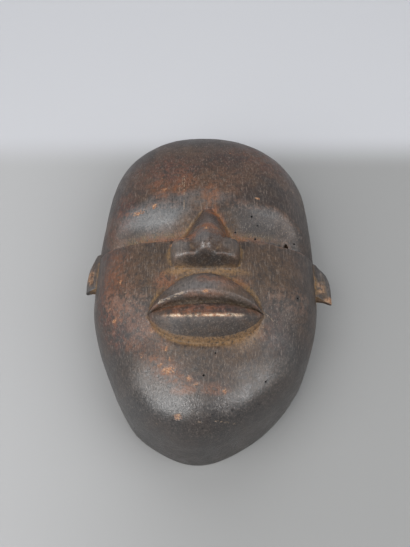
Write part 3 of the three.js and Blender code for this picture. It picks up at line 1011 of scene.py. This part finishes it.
class Surface:
    """Where the vertices of the mask lie on the face, in millimetres, and the values kept on them."""

    def __init__(self, mesh):
        self.mesh = mesh
        self.points = vertex_places(mesh) / MM
        self.x, self.y, self.z = self.points.T
        self.side = np.abs(self.x)
        self.ahead = self.y - ledge_y(self.x)
        self.radius = disc_radius(*face_coordinates(self.points))
        self.inside = in_hollow(self.points)
        self.outside = 1.0 - self.inside

    def keep(self, name, values):
        layer = self.mesh.attributes.new(name, "FLOAT", "POINT")
        layer.data.foreach_set("value", np.asarray(values, np.float32))

    def reach(self, px, py, half_x, half_y):
        """Distance from the middle of an oval, which is 1 on the oval."""
        return np.sqrt(((self.x - px) / half_x) ** 2 + ((self.y - py) / half_y) ** 2)

    def patches(self, places, soft):
        """Ovals with edges this soft, in a list of x, y, half sizes and strength."""
        total = np.zeros_like(self.x)
        for *oval, strength in places:
            total = np.maximum(total, strength * (1 - ease(1 - soft, 1 + soft, self.reach(*oval))))
        return total


def mark_holes(s):
    """Insect holes, which are painted dark as shade. Gives back how far away they are, as a multiple of their
    radius.
    """
    hole = np.full(len(s.x), FAR)
    for px, py, radius in INSECT_HOLES:
        hole = np.minimum(hole, np.hypot(s.x - px, s.y - py) / radius)
    s.keep("hole", ease(1.25, 0.9, hole) * s.outside)
    return hole


def ridge_area(s):
    """1 on the plain ridge of the nose, where no dust gathers."""
    half_width = RIDGE_HALF_WIDTH - RIDGE_NARROWING * (s.y - RIDGE_FROM_Y)
    on_top = ease(0, 2, half_width - np.abs(s.x - RIDGE_LEAN))
    return on_top * ease(RIDGE_FROM_Y - 2, RIDGE_FROM_Y + 1, s.y) * (s.y < RIDGE_FOOT_Y) * s.outside


def mark_relief(s, hole, on_ridge):
    """Recesses and edges as the mesh has them, apart from the holes, the nose and the shell's outline."""
    fine, broad = relief(s.mesh, FINE_ROUNDS), relief(s.mesh, BROAD_ROUNDS)
    near_hole = ease(4.0, 2.0, hole)
    on_block = ease(NOSE_FOOT_Z - 2.5, NOSE_FOOT_Z + 2.5, s.z)
    on_block = on_block * ease(NOSE_BLOCK_HALF + 1.5, NOSE_BLOCK_HALF - 0.5, s.side)
    on_wing = on_block * ease(NOSE_BASE_Y - 0.4, NOSE_BASE_Y + 0.6, s.y)
    on_wing = on_wing * ease(NOSE_BLOCK_END + 1, NOSE_BLOCK_END - 2, s.y)
    for left_out in (near_hole, np.maximum(on_ridge, 0.3 * on_wing)):
        fine, broad = fine * (1 - left_out), broad * (1 - left_out)
    near_ear = (s.side > EAR_ZONE_X) & (s.y > EAR_ZONE_Y[0]) & (s.y < EAR_ZONE_Y[1])
    plain = np.where(near_ear, 1.0, 1 - ease(*WALL_BEGINS, s.radius))
    recess = np.clip(fine / FINE_RECESS, 0, 1) * 0.5 + np.clip(broad / BROAD_RECESS, 0, 1) * 0.7
    s.keep("recess", recess * plain)
    s.keep("edge", np.clip(-fine / FINE_EDGE, 0, 1) * plain)


def mark_damage(s):
    """Chips, whose ragged edge lies where the value crosses 0, and the distance from the scratches."""
    chip = np.full(len(s.x), -1.0)
    for *oval, bright in CHIPS:
        chip = np.maximum(chip, bright - s.reach(*oval))
    scratch = np.full(len(s.x), FAR)
    for start, stop, half_width in SCRATCHES:
        a, way = np.array(start), np.array(stop) - np.array(start)
        along = np.clip(((s.points[:, :2] - a) @ way) / (way @ way), 0, 1)
        away = np.linalg.norm(s.points[:, :2] - a - along[:, None] * way, axis=1)
        scratch = np.minimum(scratch, away / half_width)
    s.keep("chip", np.where(s.inside, -1.0, chip))
    s.keep("scratch", np.where(s.inside, FAR, scratch))
    s.keep("inside", s.inside.astype(float))


def mark_ears(s):
    """Handled wood on the ears, and painted shade on the cut end of the right one, which faces the chin."""
    beyond = s.radius > JUST_OUTSIDE
    cut_face = ease(-0.5, -0.85, vertex_normals(s.mesh)[:, 1]) * (s.z > EAR_CUT_Z[0]) * (s.z < EAR_CUT_Z[1])
    s.keep("ear", s.patches(EAR_WEAR, 0.4) * beyond)
    s.keep("cut_end_shade", cut_face * beyond * (s.x > 0))


def mark_patina(s, on_ridge):
    """Bloom with painted sheen, painted shade, rubbed wood, soot with painted shade, and the ochre wood
    behind the ledge with the painted shadow of the slit.
    """
    # Painted shadow of the slit: a dark line just behind the ledge, along the slit
    slit_far_edge = SLIT_FROM + SLIT_FLARE[1] - 0.5
    beside_slit = ease(SLIT_INNER - 10, SLIT_INNER, s.x) * ease(SLIT_OUTER + 8, SLIT_OUTER - 2, s.x)
    slit_shade = bell(s.ahead - slit_far_edge, 1.0) * beside_slit
    behind_ledge = ease(LID_AHEAD + 1, LID_AHEAD / 2, s.ahead) * ease(1, 3, s.ahead) * (s.z > LEDGE_FOOT_Z)
    behind_ledge = behind_ledge * ease(74, 48, s.side) * ease(70, 40, s.x)
    # Painted sheen where the swellings face the lights, and a painted reflection that lightens the left wall,
    # most low down
    bloom_and_sheen = s.patches(BLOOM_AND_SHEEN, 0.35)
    lit_left_wall = 0.7 * ease(58, 22, s.z) * ease(10, -60, s.x)
    # Painted shade over the darkest patina, less of it where there is painted sheen
    shaded = s.patches(SHADED, 0.6) * (1 - 0.8 * bloom_and_sheen)
    s.keep("ochre", behind_ledge * s.outside * (1 - np.maximum(on_ridge, slit_shade)))
    s.keep("bloom_and_sheen", np.maximum(bloom_and_sheen, lit_left_wall) * s.outside)
    s.keep("shaded", np.maximum(shaded, slit_shade) * s.outside)
    s.keep("rubbed", s.patches(RUBBED, 0.6) * s.outside * ease(36, 60, s.z))
    s.keep("dusty", s.patches(DUSTY, 0.6) * s.outside * (1 - on_ridge))
    s.keep("orange", s.patches(ORANGE, 0.5) * s.outside)
    # Soot-grey and painted shade on the walls: on the chin's wall, low down near the floor and on the right
    # side, away from the left lights; darker towards the crown's edge
    crown = 0.5 * ease(0.74, 0.95, s.radius) * ease(30, 85, s.y)
    right = 0.3 * ease(0.7, 0.95, s.radius) * ease(10, 50, s.x)
    low = 1 - ease(*LOW_WALL_Z, s.z)
    shaded_jaw_wall = np.maximum(ease(0.60, 0.78, s.radius) * ease(-36, -74, s.y), 0.25 * low)
    s.keep("soot_and_shade", np.maximum(np.maximum(shaded_jaw_wall, crown), right) * s.outside)


def mark_lips(s):
    """The worn line of the lower lip, painted shade in the mouth, painted sheen on the lips with a painted
    highlight along the upper lip's rim, and dust heaped below them.
    """
    worn_line = bell(s.y - lip_line(s.x, LOWER_LIP_EDGE) - 0.3, 0.8) * ease(30, 18, np.abs(s.x + 1))
    s.keep("lip", worn_line * s.outside)
    height = lips(s.x, s.y)
    # Painted highlight along the rim of the upper lip
    rim_highlight = bell(s.y - lip_line(s.x, UPPER_LIP_CREASE) + 1.8, 0.9) * ease(38, 26, s.side)
    s.keep("lip_sheen", np.maximum(s.patches(LIP_SHEEN, 0.4) * (height > 2), rim_highlight) * s.outside)
    below_lip = lip_line(s.x, LOWER_LIP_FOOT) + 1.0 - s.y
    under_lip = bell(below_lip, 2.6 + 6.4 * ease(4, 30, s.x)) * (below_lip > -1) * ease(41, 34, s.side)
    s.keep("heaped", np.maximum(s.patches(HEAPED, 0.6), under_lip) * s.outside * (height < 6))
    # Painted shade in the mouth, under the edge of the upper lip
    place = (s.y - MOUTH_Y) / np.maximum(lens(s.x), LIP_LEAST_REACH)
    above_line = ease(MOUTH_LINE - 0.6, MOUTH_LINE + 1, place)
    below_edge = ease(UPPER_LIP_EDGE + 0.5, UPPER_LIP_EDGE - 2, place)
    s.keep("mouth", above_line * below_edge * (s.side < MOUTH_HALF) * s.outside)


def mark_polish(s, on_ridge):
    """Gloss of the chin and the nose, and the growth rings that show on the nose."""
    nose_top = ease(84, 89, s.z) * ease(-12, -9, s.y) * ease(30, 20, s.side)
    s.keep("gloss", np.maximum(ease(*CHIN_GLOSS_Y, s.y), nose_top) * s.outside)
    ring = np.hypot((s.x - RING_CENTRE[0]) * RING_SQUASH, s.y - RING_CENTRE[1])
    s.keep("ring", ring + RING_TILT * s.z)
    on_ball = ease(*RING_REACH, ring) * (s.z > NOSE_FOOT_Z + 2.5) * s.outside
    s.keep("ring_area", np.maximum(on_ball, 0.8 * on_ridge))


def mark_wear(mesh):
    """Keeps on the vertices where dust lies, edges are rubbed and patina is missing, and where shade and
    sheen are painted.
    """
    surface = Surface(mesh)
    hole = mark_holes(surface)
    on_ridge = ridge_area(surface)
    mark_relief(surface, hole, on_ridge)
    mark_damage(surface)
    mark_ears(surface)
    mark_patina(surface, on_ridge)
    mark_lips(surface)
    mark_polish(surface, on_ridge)


def roughen(mesh):
    """Gives the outside the slight unevenness of hand work, which fades out above the rim."""
    places = vertex_places(mesh) / MM
    fade = ease(*HAND_WORK_BEGINS, places[:, 2]) * np.where(in_hollow(places), 0.0, 1.0)
    places += vertex_normals(mesh) * (hand_carved(places) * fade)[:, None]
    mesh.vertices.foreach_set("co", (places * MM).ravel())


def move_to_frame(mesh, box):
    """Shifts the mesh to the origin of the frame and keeps it inside a box."""
    places = vertex_places(mesh) + np.array([*SHIFT, 0]) * MM
    low, high = (np.array(corner) for corner in box)
    mesh.vertices.foreach_set("co", np.clip(places, low, high).ravel())


def make_mask(box):
    """The whole mask with its marks of wear, kept inside this box."""
    points, quads, triangles = shell_arrays()
    mask = add_object("mask_wood", mesh_from("mask_wood", points, [*quads.tolist(), *triangles.tolist()]))
    for ear in EARS:
        combine(mask, ear_object(**ear), "UNION")
    roughen(mask.data)
    for side, flare in SLIT_FLARE.items():
        combine(mask, slit_object(side, flare), "DIFFERENCE")
    combine(mask, hole_cutter(), "DIFFERENCE")
    mesh = mask.data
    drop_slivers(mesh)
    mark_wear(mesh)
    move_to_frame(mesh, box)
    mesh.shade_smooth()
    mesh.set_sharp_from_angle(angle=math.radians(SHARP_ANGLE))
    mesh.update()
    return mask


def linear(*srgb):
    """Linear colour from 8-bit screen values."""
    parts = [c / 255 for c in srgb]
    return (*[c / 12.92 if c <= 0.04045 else ((c + 0.055) / 1.055) ** 2.4 for c in parts], 1.0)


# Colours of the wood, as 8-bit screen values
PATINA = (51, 38, 31)
WARM_PATINA = (75, 54, 39)
COOL_PATINA = (40, 34, 33)
PALE_FIBRE = (96, 76, 62)
# Grey bloom with painted sheen, and the paler painted sheen of the lips
GREY_BLOOM_AND_SHEEN = (88, 89, 90)
PALE_SHEEN = (98, 95, 94)
RING_WOOD = (104, 94, 90)
# Soot-grey, also painted shade on the walls
SOOT_AND_SHADE = (44, 43, 43)
RED_WOOD = (98, 50, 35)
BRIGHT_RED_WOOD = (138, 80, 46)
DUST = (98, 67, 31)
DEEP_DUST = (140, 104, 54)
HEAPED_DUST = (142, 104, 56)
OCHRE_WOOD = (120, 74, 30)
PALE_OCHRE = (124, 96, 54)
ORANGE_WOOD = (134, 76, 32)
SHADE = (18, 13, 10)
EAR_WOOD = (132, 88, 52)
PALE_EAR_WOOD = (176, 136, 98)
# Painted shade on the cut end of an ear
CUT_END_SHADE = (34, 30, 29)
EDGE_WOOD = (132, 98, 78)
# Painted shade in the mouth
MOUTH_SHADE = (50, 41, 30)
LIGHT_GRAIN = (166, 152, 140)
# Dark specks, and the painted shade of the insect holes
DARK_GRAIN_AND_SHADE = (26, 22, 20)
FLECK = (168, 138, 108)
WORN_LIP = (190, 132, 90)
BARE_LIP = (240, 218, 186)
CHIP_WOOD = (140, 86, 50)
PALE_CHIP_WOOD = (190, 146, 102)
SCRATCHED_WOOD = (150, 128, 104)
HOLLOW_WOOD = (100, 74, 56)
PALE_HOLLOW_WOOD = (122, 94, 72)

# Shine of the wood
ROUGHNESS = (0.42, 0.54)
GLOSS = 0.12
DULLNESS = 0.35
BUMP_STRENGTH = 0.85
BUMP_DEPTH = 0.35


class Nodes:
    """Short calls for building a material's node tree."""

    def __init__(self, name):
        self.material = bpy.data.materials.new(name)
        self.material.use_nodes = True
        self.tree = self.material.node_tree
        self.shader = self.tree.nodes["Principled BSDF"]

    def feed(self, socket, value):
        if isinstance(value, bpy.types.NodeSocket):
            self.tree.links.new(value, socket)
        elif value is not None:
            socket.default_value = value

    def make(self, kind, **settings):
        node = self.tree.nodes.new(kind)
        for key, value in settings.items():
            setattr(node, key, value)
        return node

    def attribute(self, name):
        return self.make("ShaderNodeAttribute", attribute_name=name).outputs["Fac"]

    def math(self, operation, a, b=None, clamp=False):
        node = self.make("ShaderNodeMath", operation=operation, use_clamp=clamp)
        self.feed(node.inputs[0], a)
        self.feed(node.inputs[1], b)
        return node.outputs[0]

    def plus(self, a, b):
        return self.math("ADD", a, b)

    def times(self, a, b):
        return self.math("MULTIPLY", a, b)

    def most(self, first, *others):
        """The greatest of several values."""
        for other in others:
            first = self.math("MAXIMUM", first, other)
        return first

    def swing(self, value, size):
        """Noise from 0 to 1 made to swing about 0, as wide as size."""
        return self.times(self.math("SUBTRACT", value, 0.5), size)

    def ramp(self, value, start, stop, low=0.0, high=1.0):
        """Smooth step from low to high while value goes from start to stop."""
        node = self.make("ShaderNodeMapRange", interpolation_type="SMOOTHSTEP")
        for socket, given in zip(node.inputs[:5], (value, start, stop, low, high)):
            self.feed(socket, given)
        return node.outputs[0]

    def patchy(self, name, noise, start, stop, low=0.0, high=1.0):
        """An attribute broken up by a ramp of noise."""
        return self.times(self.attribute(name), self.ramp(noise, start, stop, low, high))

    def blend(self, amount, first, second):
        """Mix of two colours, where a colour of three parts is in 8-bit screen values."""
        node = self.make("ShaderNodeMix", data_type="RGBA")
        self.feed(node.inputs[0], amount)
        for socket, colour in zip(node.inputs[6:8], (first, second)):
            on_screen = isinstance(colour, tuple) and len(colour) == 3
            self.feed(socket, linear(*colour) if on_screen else colour)
        return node.outputs[2]

    def cover(self, base, mask, strength, colour):
        """Lays a colour over base where mask is 1, at this strength."""
        return self.blend(self.times(mask, strength), base, colour)

    def place(self, scale=(1, 1, 1)):
        """Position on the object in millimetres, stretched."""
        node = self.make("ShaderNodeMapping")
        self.feed(node.inputs["Vector"], self.make("ShaderNodeTexCoord").outputs["Object"])
        node.inputs["Scale"].default_value = [1000 * s for s in scale]
        return node.outputs[0]

    def noise(self, size, detail=3.0, rough=0.55, stretch=(1, 1, 1), warp=0.0):
        """Noise from 0 to 1 with features about size millimetres across."""
        node = self.make("ShaderNodeTexNoise")
        self.feed(node.inputs["Vector"], self.place(stretch))
        settings = {"Scale": 1 / size, "Detail": detail, "Roughness": rough, "Distortion": warp}
        for name, value in settings.items():
            node.inputs[name].default_value = value
        return node.outputs["Fac"]


def wood_noises(n):
    """Noises that the layers of the wood share. The masks of some layers are kept beside them."""
    return SimpleNamespace(
        cloud=n.noise(30, 2.0),
        blotch=n.noise(9, 4.0, 0.6, warp=0.6),
        mottle=n.noise(4.2, 4.0, 0.65),
        speck=n.noise(1.8, 3.0, 0.7),
        dots=n.noise(1.1, 2.0, 0.6),
        grain=n.noise(1.0, 2.0, 0.7),
        fibre=n.noise(0.8, 3.0, 0.6, (1, 0.08, 1)),
        streak=n.noise(3.2, 2.0, 0.5, (1, 0.07, 1)),
    )


def patina(n, w):
    """Dark handled surface with grey bloom and painted sheen, soot and painted shade on the walls, and growth
    rings on the nose.
    """
    base = n.blend(n.ramp(w.cloud, 0.38, 0.62), PATINA, WARM_PATINA)
    base = n.blend(n.ramp(w.blotch, 0.42, 0.70, 0, 0.7), base, COOL_PATINA)
    base = n.blend(n.ramp(w.fibre, 0.50, 0.78, 0, 0.35), base, PALE_FIBRE)
    # Painted sheen: grey where the swellings face the lights
    base = n.cover(base, n.patchy("bloom_and_sheen", w.mottle, 0.25, 0.55, 0.6), 0.8, GREY_BLOOM_AND_SHEEN)
    # Paler painted sheen on the faces of the lips and a painted highlight along the upper lip's rim
    base = n.cover(base, n.patchy("lip_sheen", w.mottle, 0.25, 0.55, 0.5), 0.8, PALE_SHEEN)
    wavy = n.plus(n.attribute("ring"), n.times(w.mottle, 3.0))
    rings = n.math("SINE", n.times(wavy, 3.6))
    ring = n.times(n.attribute("ring_area"), n.ramp(rings, -0.2, 0.9))
    base = n.cover(base, ring, 0.4, RING_WOOD)
    # Soot and painted shade on the walls
    return n.cover(base, n.patchy("soot_and_shade", w.blotch, 0.2, 0.6, 1.0, 0.75), 0.9, SOOT_AND_SHADE)


def rubbed_wood(n, w, base):
    """Red-brown wood where hands have rubbed the patina away, brighter in its middle."""
    w.rubbed = n.times(n.patchy("rubbed", w.mottle, 0.36, 0.60), n.ramp(w.speck, 0.30, 0.58, 0.7))
    base = n.cover(base, w.rubbed, 0.85, RED_WOOD)
    bright = n.times(n.patchy("rubbed", w.blotch, 0.45, 0.6), n.ramp(w.mottle, 0.50, 0.62))
    return n.cover(base, bright, 0.35, BRIGHT_RED_WOOD)


def dust_and_shade(n, w, base):
    """Ochre dust on the plain parts and in the recesses, ochre and orange wood, painted shade and heaped
    dust.
    """
    w.dust = n.patchy("dusty", w.mottle, 0.34, 0.60, 0.35)
    base = n.cover(base, w.dust, 0.7, DUST)
    deep = n.times(n.ramp(n.attribute("recess"), 0.20, 0.85), n.ramp(w.mottle, 0.34, 0.62, 0.25))
    w.deep = n.times(deep, n.ramp(w.speck, 0.34, 0.60, 0.45))
    base = n.cover(base, w.deep, 0.85, DEEP_DUST)
    w.ochre = n.patchy("ochre", w.speck, 0.30, 0.60, 0.4)
    base = n.cover(base, w.ochre, 0.9, n.blend(n.ramp(w.blotch, 0.40, 0.60), OCHRE_WOOD, PALE_OCHRE))
    base = n.cover(base, n.patchy("orange", w.mottle, 0.36, 0.56, 0.2), 0.85, ORANGE_WOOD)
    # Painted shade: near black over the darkest patina
    w.shaded = n.patchy("shaded", w.mottle, 0.3, 0.6, 1.0, 0.7)
    base = n.cover(base, w.shaded, 0.8, SHADE)
    return n.cover(base, n.patchy("heaped", w.speck, 0.32, 0.58, 0.3), 0.6, HEAPED_DUST)


def worn_places(n, w, base):
    """Tan wood of the ears and painted shade on their cut ends, pale edges and painted shade in the mouth."""
    ear_wood = n.blend(n.ramp(w.speck, 0.4, 0.6), EAR_WOOD, PALE_EAR_WOOD)
    base = n.cover(base, n.patchy("ear", w.mottle, 0.36, 0.58, 0.15), 0.85, ear_wood)
    # Painted shade on the cut end of the right ear
    base = n.cover(base, n.attribute("cut_end_shade"), 0.8, CUT_END_SHADE)
    edge = n.times(n.ramp(n.attribute("edge"), 0.45, 1.0), n.ramp(w.mottle, 0.4, 0.65))
    base = n.cover(base, edge, 0.35, EDGE_WOOD)
    # Painted shade in the mouth, under the upper lip's edge
    return n.cover(base, n.attribute("mouth"), 0.75, MOUTH_SHADE)


def flecks(n, w, base):
    """Light and dark specks and fibres over the whole surface."""
    light = n.times(n.ramp(w.speck, 0.52, 0.70), n.ramp(w.grain, 0.40, 0.60, 0.35))
    light = n.most(n.times(light, 0.7), n.ramp(w.fibre, 0.52, 0.72))
    base = n.cover(base, light, 0.5, n.blend(0.5, base, LIGHT_GRAIN))
    dark = n.most(n.ramp(w.speck, 0.46, 0.30), n.ramp(w.grain, 0.42, 0.28), n.ramp(w.fibre, 0.44, 0.28))
    base = n.cover(base, dark, 0.75, DARK_GRAIN_AND_SHADE)
    fleck = n.times(n.ramp(n.noise(2.4, 1.0), 0.72, 0.78), n.ramp(w.cloud, 0.5, 0.6))
    return n.cover(base, fleck, 0.3, FLECK)


def damage(n, w, base):
    """Bare wood on the lower lip and in chips and scratches, then the hollow, and painted shade in the insect
    holes.
    """
    lip_wood = n.blend(n.ramp(w.speck, 0.4, 0.6), WORN_LIP, BARE_LIP)
    base = n.blend(n.patchy("lip", w.mottle, 0.36, 0.56, 0.15), base, lip_wood)
    ragged = n.plus(n.plus(n.attribute("chip"), n.swing(w.speck, 2.0)), n.swing(w.mottle, 1.4))
    w.chip = n.ramp(ragged, 0.08, 0.62)
    base = n.cover(base, w.chip, 0.75, n.blend(n.ramp(w.dots, 0.4, 0.62), CHIP_WOOD, PALE_CHIP_WOOD))
    broken = n.ramp(n.noise(2.0, 1.0), 0.46, 0.54)
    w.scratch = n.times(n.ramp(n.attribute("scratch"), 1.3, 0.6), broken)
    base = n.cover(base, w.scratch, 0.6, SCRATCHED_WOOD)
    hollow_wood = n.blend(n.ramp(w.streak, 0.35, 0.65), HOLLOW_WOOD, PALE_HOLLOW_WOOD)
    base = n.blend(n.attribute("inside"), base, hollow_wood)
    # Painted shade in the insect holes
    return n.blend(n.attribute("hole"), base, DARK_GRAIN_AND_SHADE)


def roughness(n, w):
    """Satin, smoother on the chin and the nose, and dull where there is dust or bare wood."""
    rough = n.ramp(w.blotch, 0.3, 0.7, *ROUGHNESS)
    rough = n.math("SUBTRACT", rough, n.times(n.attribute("gloss"), GLOSS))
    rough = n.plus(rough, n.swing(w.speck, 0.3))
    half_dull = n.times(n.most(w.dust, w.rubbed, w.ochre), 0.8)
    dull = n.most(w.chip, w.deep, n.attribute("inside"), half_dull, n.times(w.shaded, 0.7))
    return n.math("ADD", rough, n.times(dull, DULLNESS), clamp=True)


def bumps(n, w):
    """Fine relief of the surface, with chips and scratches sunk into it."""
    height = n.times(w.fibre, 0.40)
    for value, amount in ((w.blotch, 0.7), (w.speck, 0.75), (w.chip, -0.5), (w.scratch, -0.3)):
        height = n.plus(height, n.times(value, amount))
    bump = n.make("ShaderNodeBump")
    bump.inputs["Strength"].default_value = BUMP_STRENGTH
    bump.inputs["Distance"].default_value = BUMP_DEPTH * MM
    n.feed(bump.inputs["Height"], height)
    return bump.outputs[0]


def wood_material():
    """Dark handled patina over red-brown wood, with ochre dust in the hollows and bare wood in the chips."""
    n = Nodes("patinated_wood")
    w = wood_noises(n)
    base = patina(n, w)
    for layer in (rubbed_wood, dust_and_shade, worn_places, flecks, damage):
        base = layer(n, w, base)
    n.feed(n.shader.inputs["Base Color"], base)
    n.feed(n.shader.inputs["Roughness"], roughness(n, w))
    n.feed(n.shader.inputs["Normal"], bumps(n, w))
    n.shader.inputs["Specular IOR Level"].default_value = 1.0
    return n.material


# Floor, in metres: a pale table top with painted shade that makes it darker to the right, away from the left
# lights, and lighter beyond a soft line behind the crown
TABLE_LINE = (0.128, 0.168)
TABLE_ACROSS = (-0.18, 0.04)
TABLE_LEFT = (0.415, 0.415, 0.415, 1)
TABLE_RIGHT = (0.305, 0.305, 0.30, 1)
TABLE_BEYOND = (0.525, 0.53, 0.55, 1)
FLOOR_HALF = 3.0
FLOOR_Z = -0.0002


def floor_material():
    n = Nodes("pale_floor")
    where = n.make("ShaderNodeSeparateXYZ")
    n.feed(where.inputs[0], n.make("ShaderNodeTexCoord").outputs["Object"])
    # Painted shade: the table darkens towards the right
    table = n.blend(n.ramp(where.outputs["X"], *TABLE_ACROSS), TABLE_LEFT, TABLE_RIGHT)
    beyond = n.ramp(where.outputs["Y"], *TABLE_LINE)
    n.feed(n.shader.inputs["Base Color"], n.blend(beyond, table, TABLE_BEYOND))
    n.shader.inputs["Roughness"].default_value = 0.75
    n.shader.inputs["Specular IOR Level"].default_value = 0.2
    return n.material


def make_floor():
    shape = bmesh.new()
    bmesh.ops.create_grid(shape, x_segments=1, y_segments=1, size=FLOOR_HALF)
    floor = object_from("floor", shape)
    floor.location.z = FLOOR_Z
    floor.data.materials.append(floor_material())


def aim(obj, place, target):
    """Puts a light or a camera in its place and turns it to its target."""
    obj.location = place
    obj.rotation_euler = (Vector(target) - Vector(place)).to_track_quat("-Z", "Y").to_euler()


# Lights: places and sizes in metres, power in watts
LIGHT_TARGET = (0, 0, 0.05)
LEFT_PLACE = (-0.76, -0.64, 1.02)
NEUTRAL = (1.0, 0.99, 0.98)
COOL = (0.98, 0.99, 1.0)
SKY = (0.97, 0.98, 1.0)
FRONT_COLOUR = (0.98, 0.98, 1.0)
WORLD_COLOUR = (0.90, 0.93, 0.97, 1)
WORLD_STRENGTH = 0.33


def add_light(name, place, size, power, colour, part):
    """Area light that gives only soft light, or only the reflection of its bright middle."""
    light = bpy.data.lights.new(name, "AREA")
    light.shape = "RECTANGLE"
    light.size, light.size_y = size
    light.energy = power
    light.color = colour
    obj = add_object(name, light)
    obj.visible_glossy = part == "shine"
    obj.visible_diffuse = part == "soft"
    aim(obj, place, LIGHT_TARGET)


def make_lights():
    add_light("left", LEFT_PLACE, (1.4, 1.4), 13.0, NEUTRAL, "soft")
    add_light("left_middle", LEFT_PLACE, (0.5, 0.5), 14.5, NEUTRAL, "shine")
    add_light("right", (0.92, -0.34, 0.98), (1.0, 1.0), 6.0, COOL, "soft")
    add_light("right_middle", (0.90, -0.47, 0.97), (0.42, 0.42), 6.5, COOL, "shine")
    add_light("overhead", (-0.1, 0.8, 1.3), (1.4, 0.9), 6.8, SKY, "soft")
    add_light("front", (0.05, -0.5, 1.4), (1.3, 0.9), 5.7, FRONT_COLOUR, "soft")
    world = bpy.data.worlds.new("studio")
    world.use_nodes = True
    background = world.node_tree.nodes["Background"]
    background.inputs["Color"].default_value = WORLD_COLOUR
    background.inputs["Strength"].default_value = WORLD_STRENGTH
    bpy.context.scene.world = world


# Camera, for an image 410 by 547: places in metres, lens and sensor in millimetres, elevation in degrees
CAMERA_TARGET = (-0.0025, 0.0023, 0.040)
CAMERA_ELEVATION = 60.0
CAMERA_DISTANCE = 0.620
CAMERA_LENS = 55.0
CAMERA_SENSOR = 36
CAMERA_CLIP = 0.01


def make_camera():
    data = bpy.data.cameras.new("camera")
    data.sensor_width = CAMERA_SENSOR
    data.lens = CAMERA_LENS
    data.clip_start = CAMERA_CLIP
    camera = add_object("camera", data)
    tilt = math.radians(CAMERA_ELEVATION)
    back = Vector((0, -math.cos(tilt), math.sin(tilt)))
    aim(camera, Vector(CAMERA_TARGET) + back * CAMERA_DISTANCE, CAMERA_TARGET)
    bpy.context.scene.camera = camera


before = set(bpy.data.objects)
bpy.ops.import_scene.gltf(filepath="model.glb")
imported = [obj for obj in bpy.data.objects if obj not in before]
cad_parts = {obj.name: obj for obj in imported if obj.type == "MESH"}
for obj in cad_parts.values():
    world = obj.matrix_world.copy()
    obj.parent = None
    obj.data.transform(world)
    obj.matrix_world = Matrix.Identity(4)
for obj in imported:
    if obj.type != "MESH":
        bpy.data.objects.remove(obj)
CAD_BOX = [tuple(corner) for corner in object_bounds()]
bpy.context.scene.view_settings.view_transform = "Standard"

mask = make_mask(CAD_BOX)
mask.data.materials.append(wood_material())
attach(mask, "root")
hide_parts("mask")
make_floor()
make_lights()
make_camera()
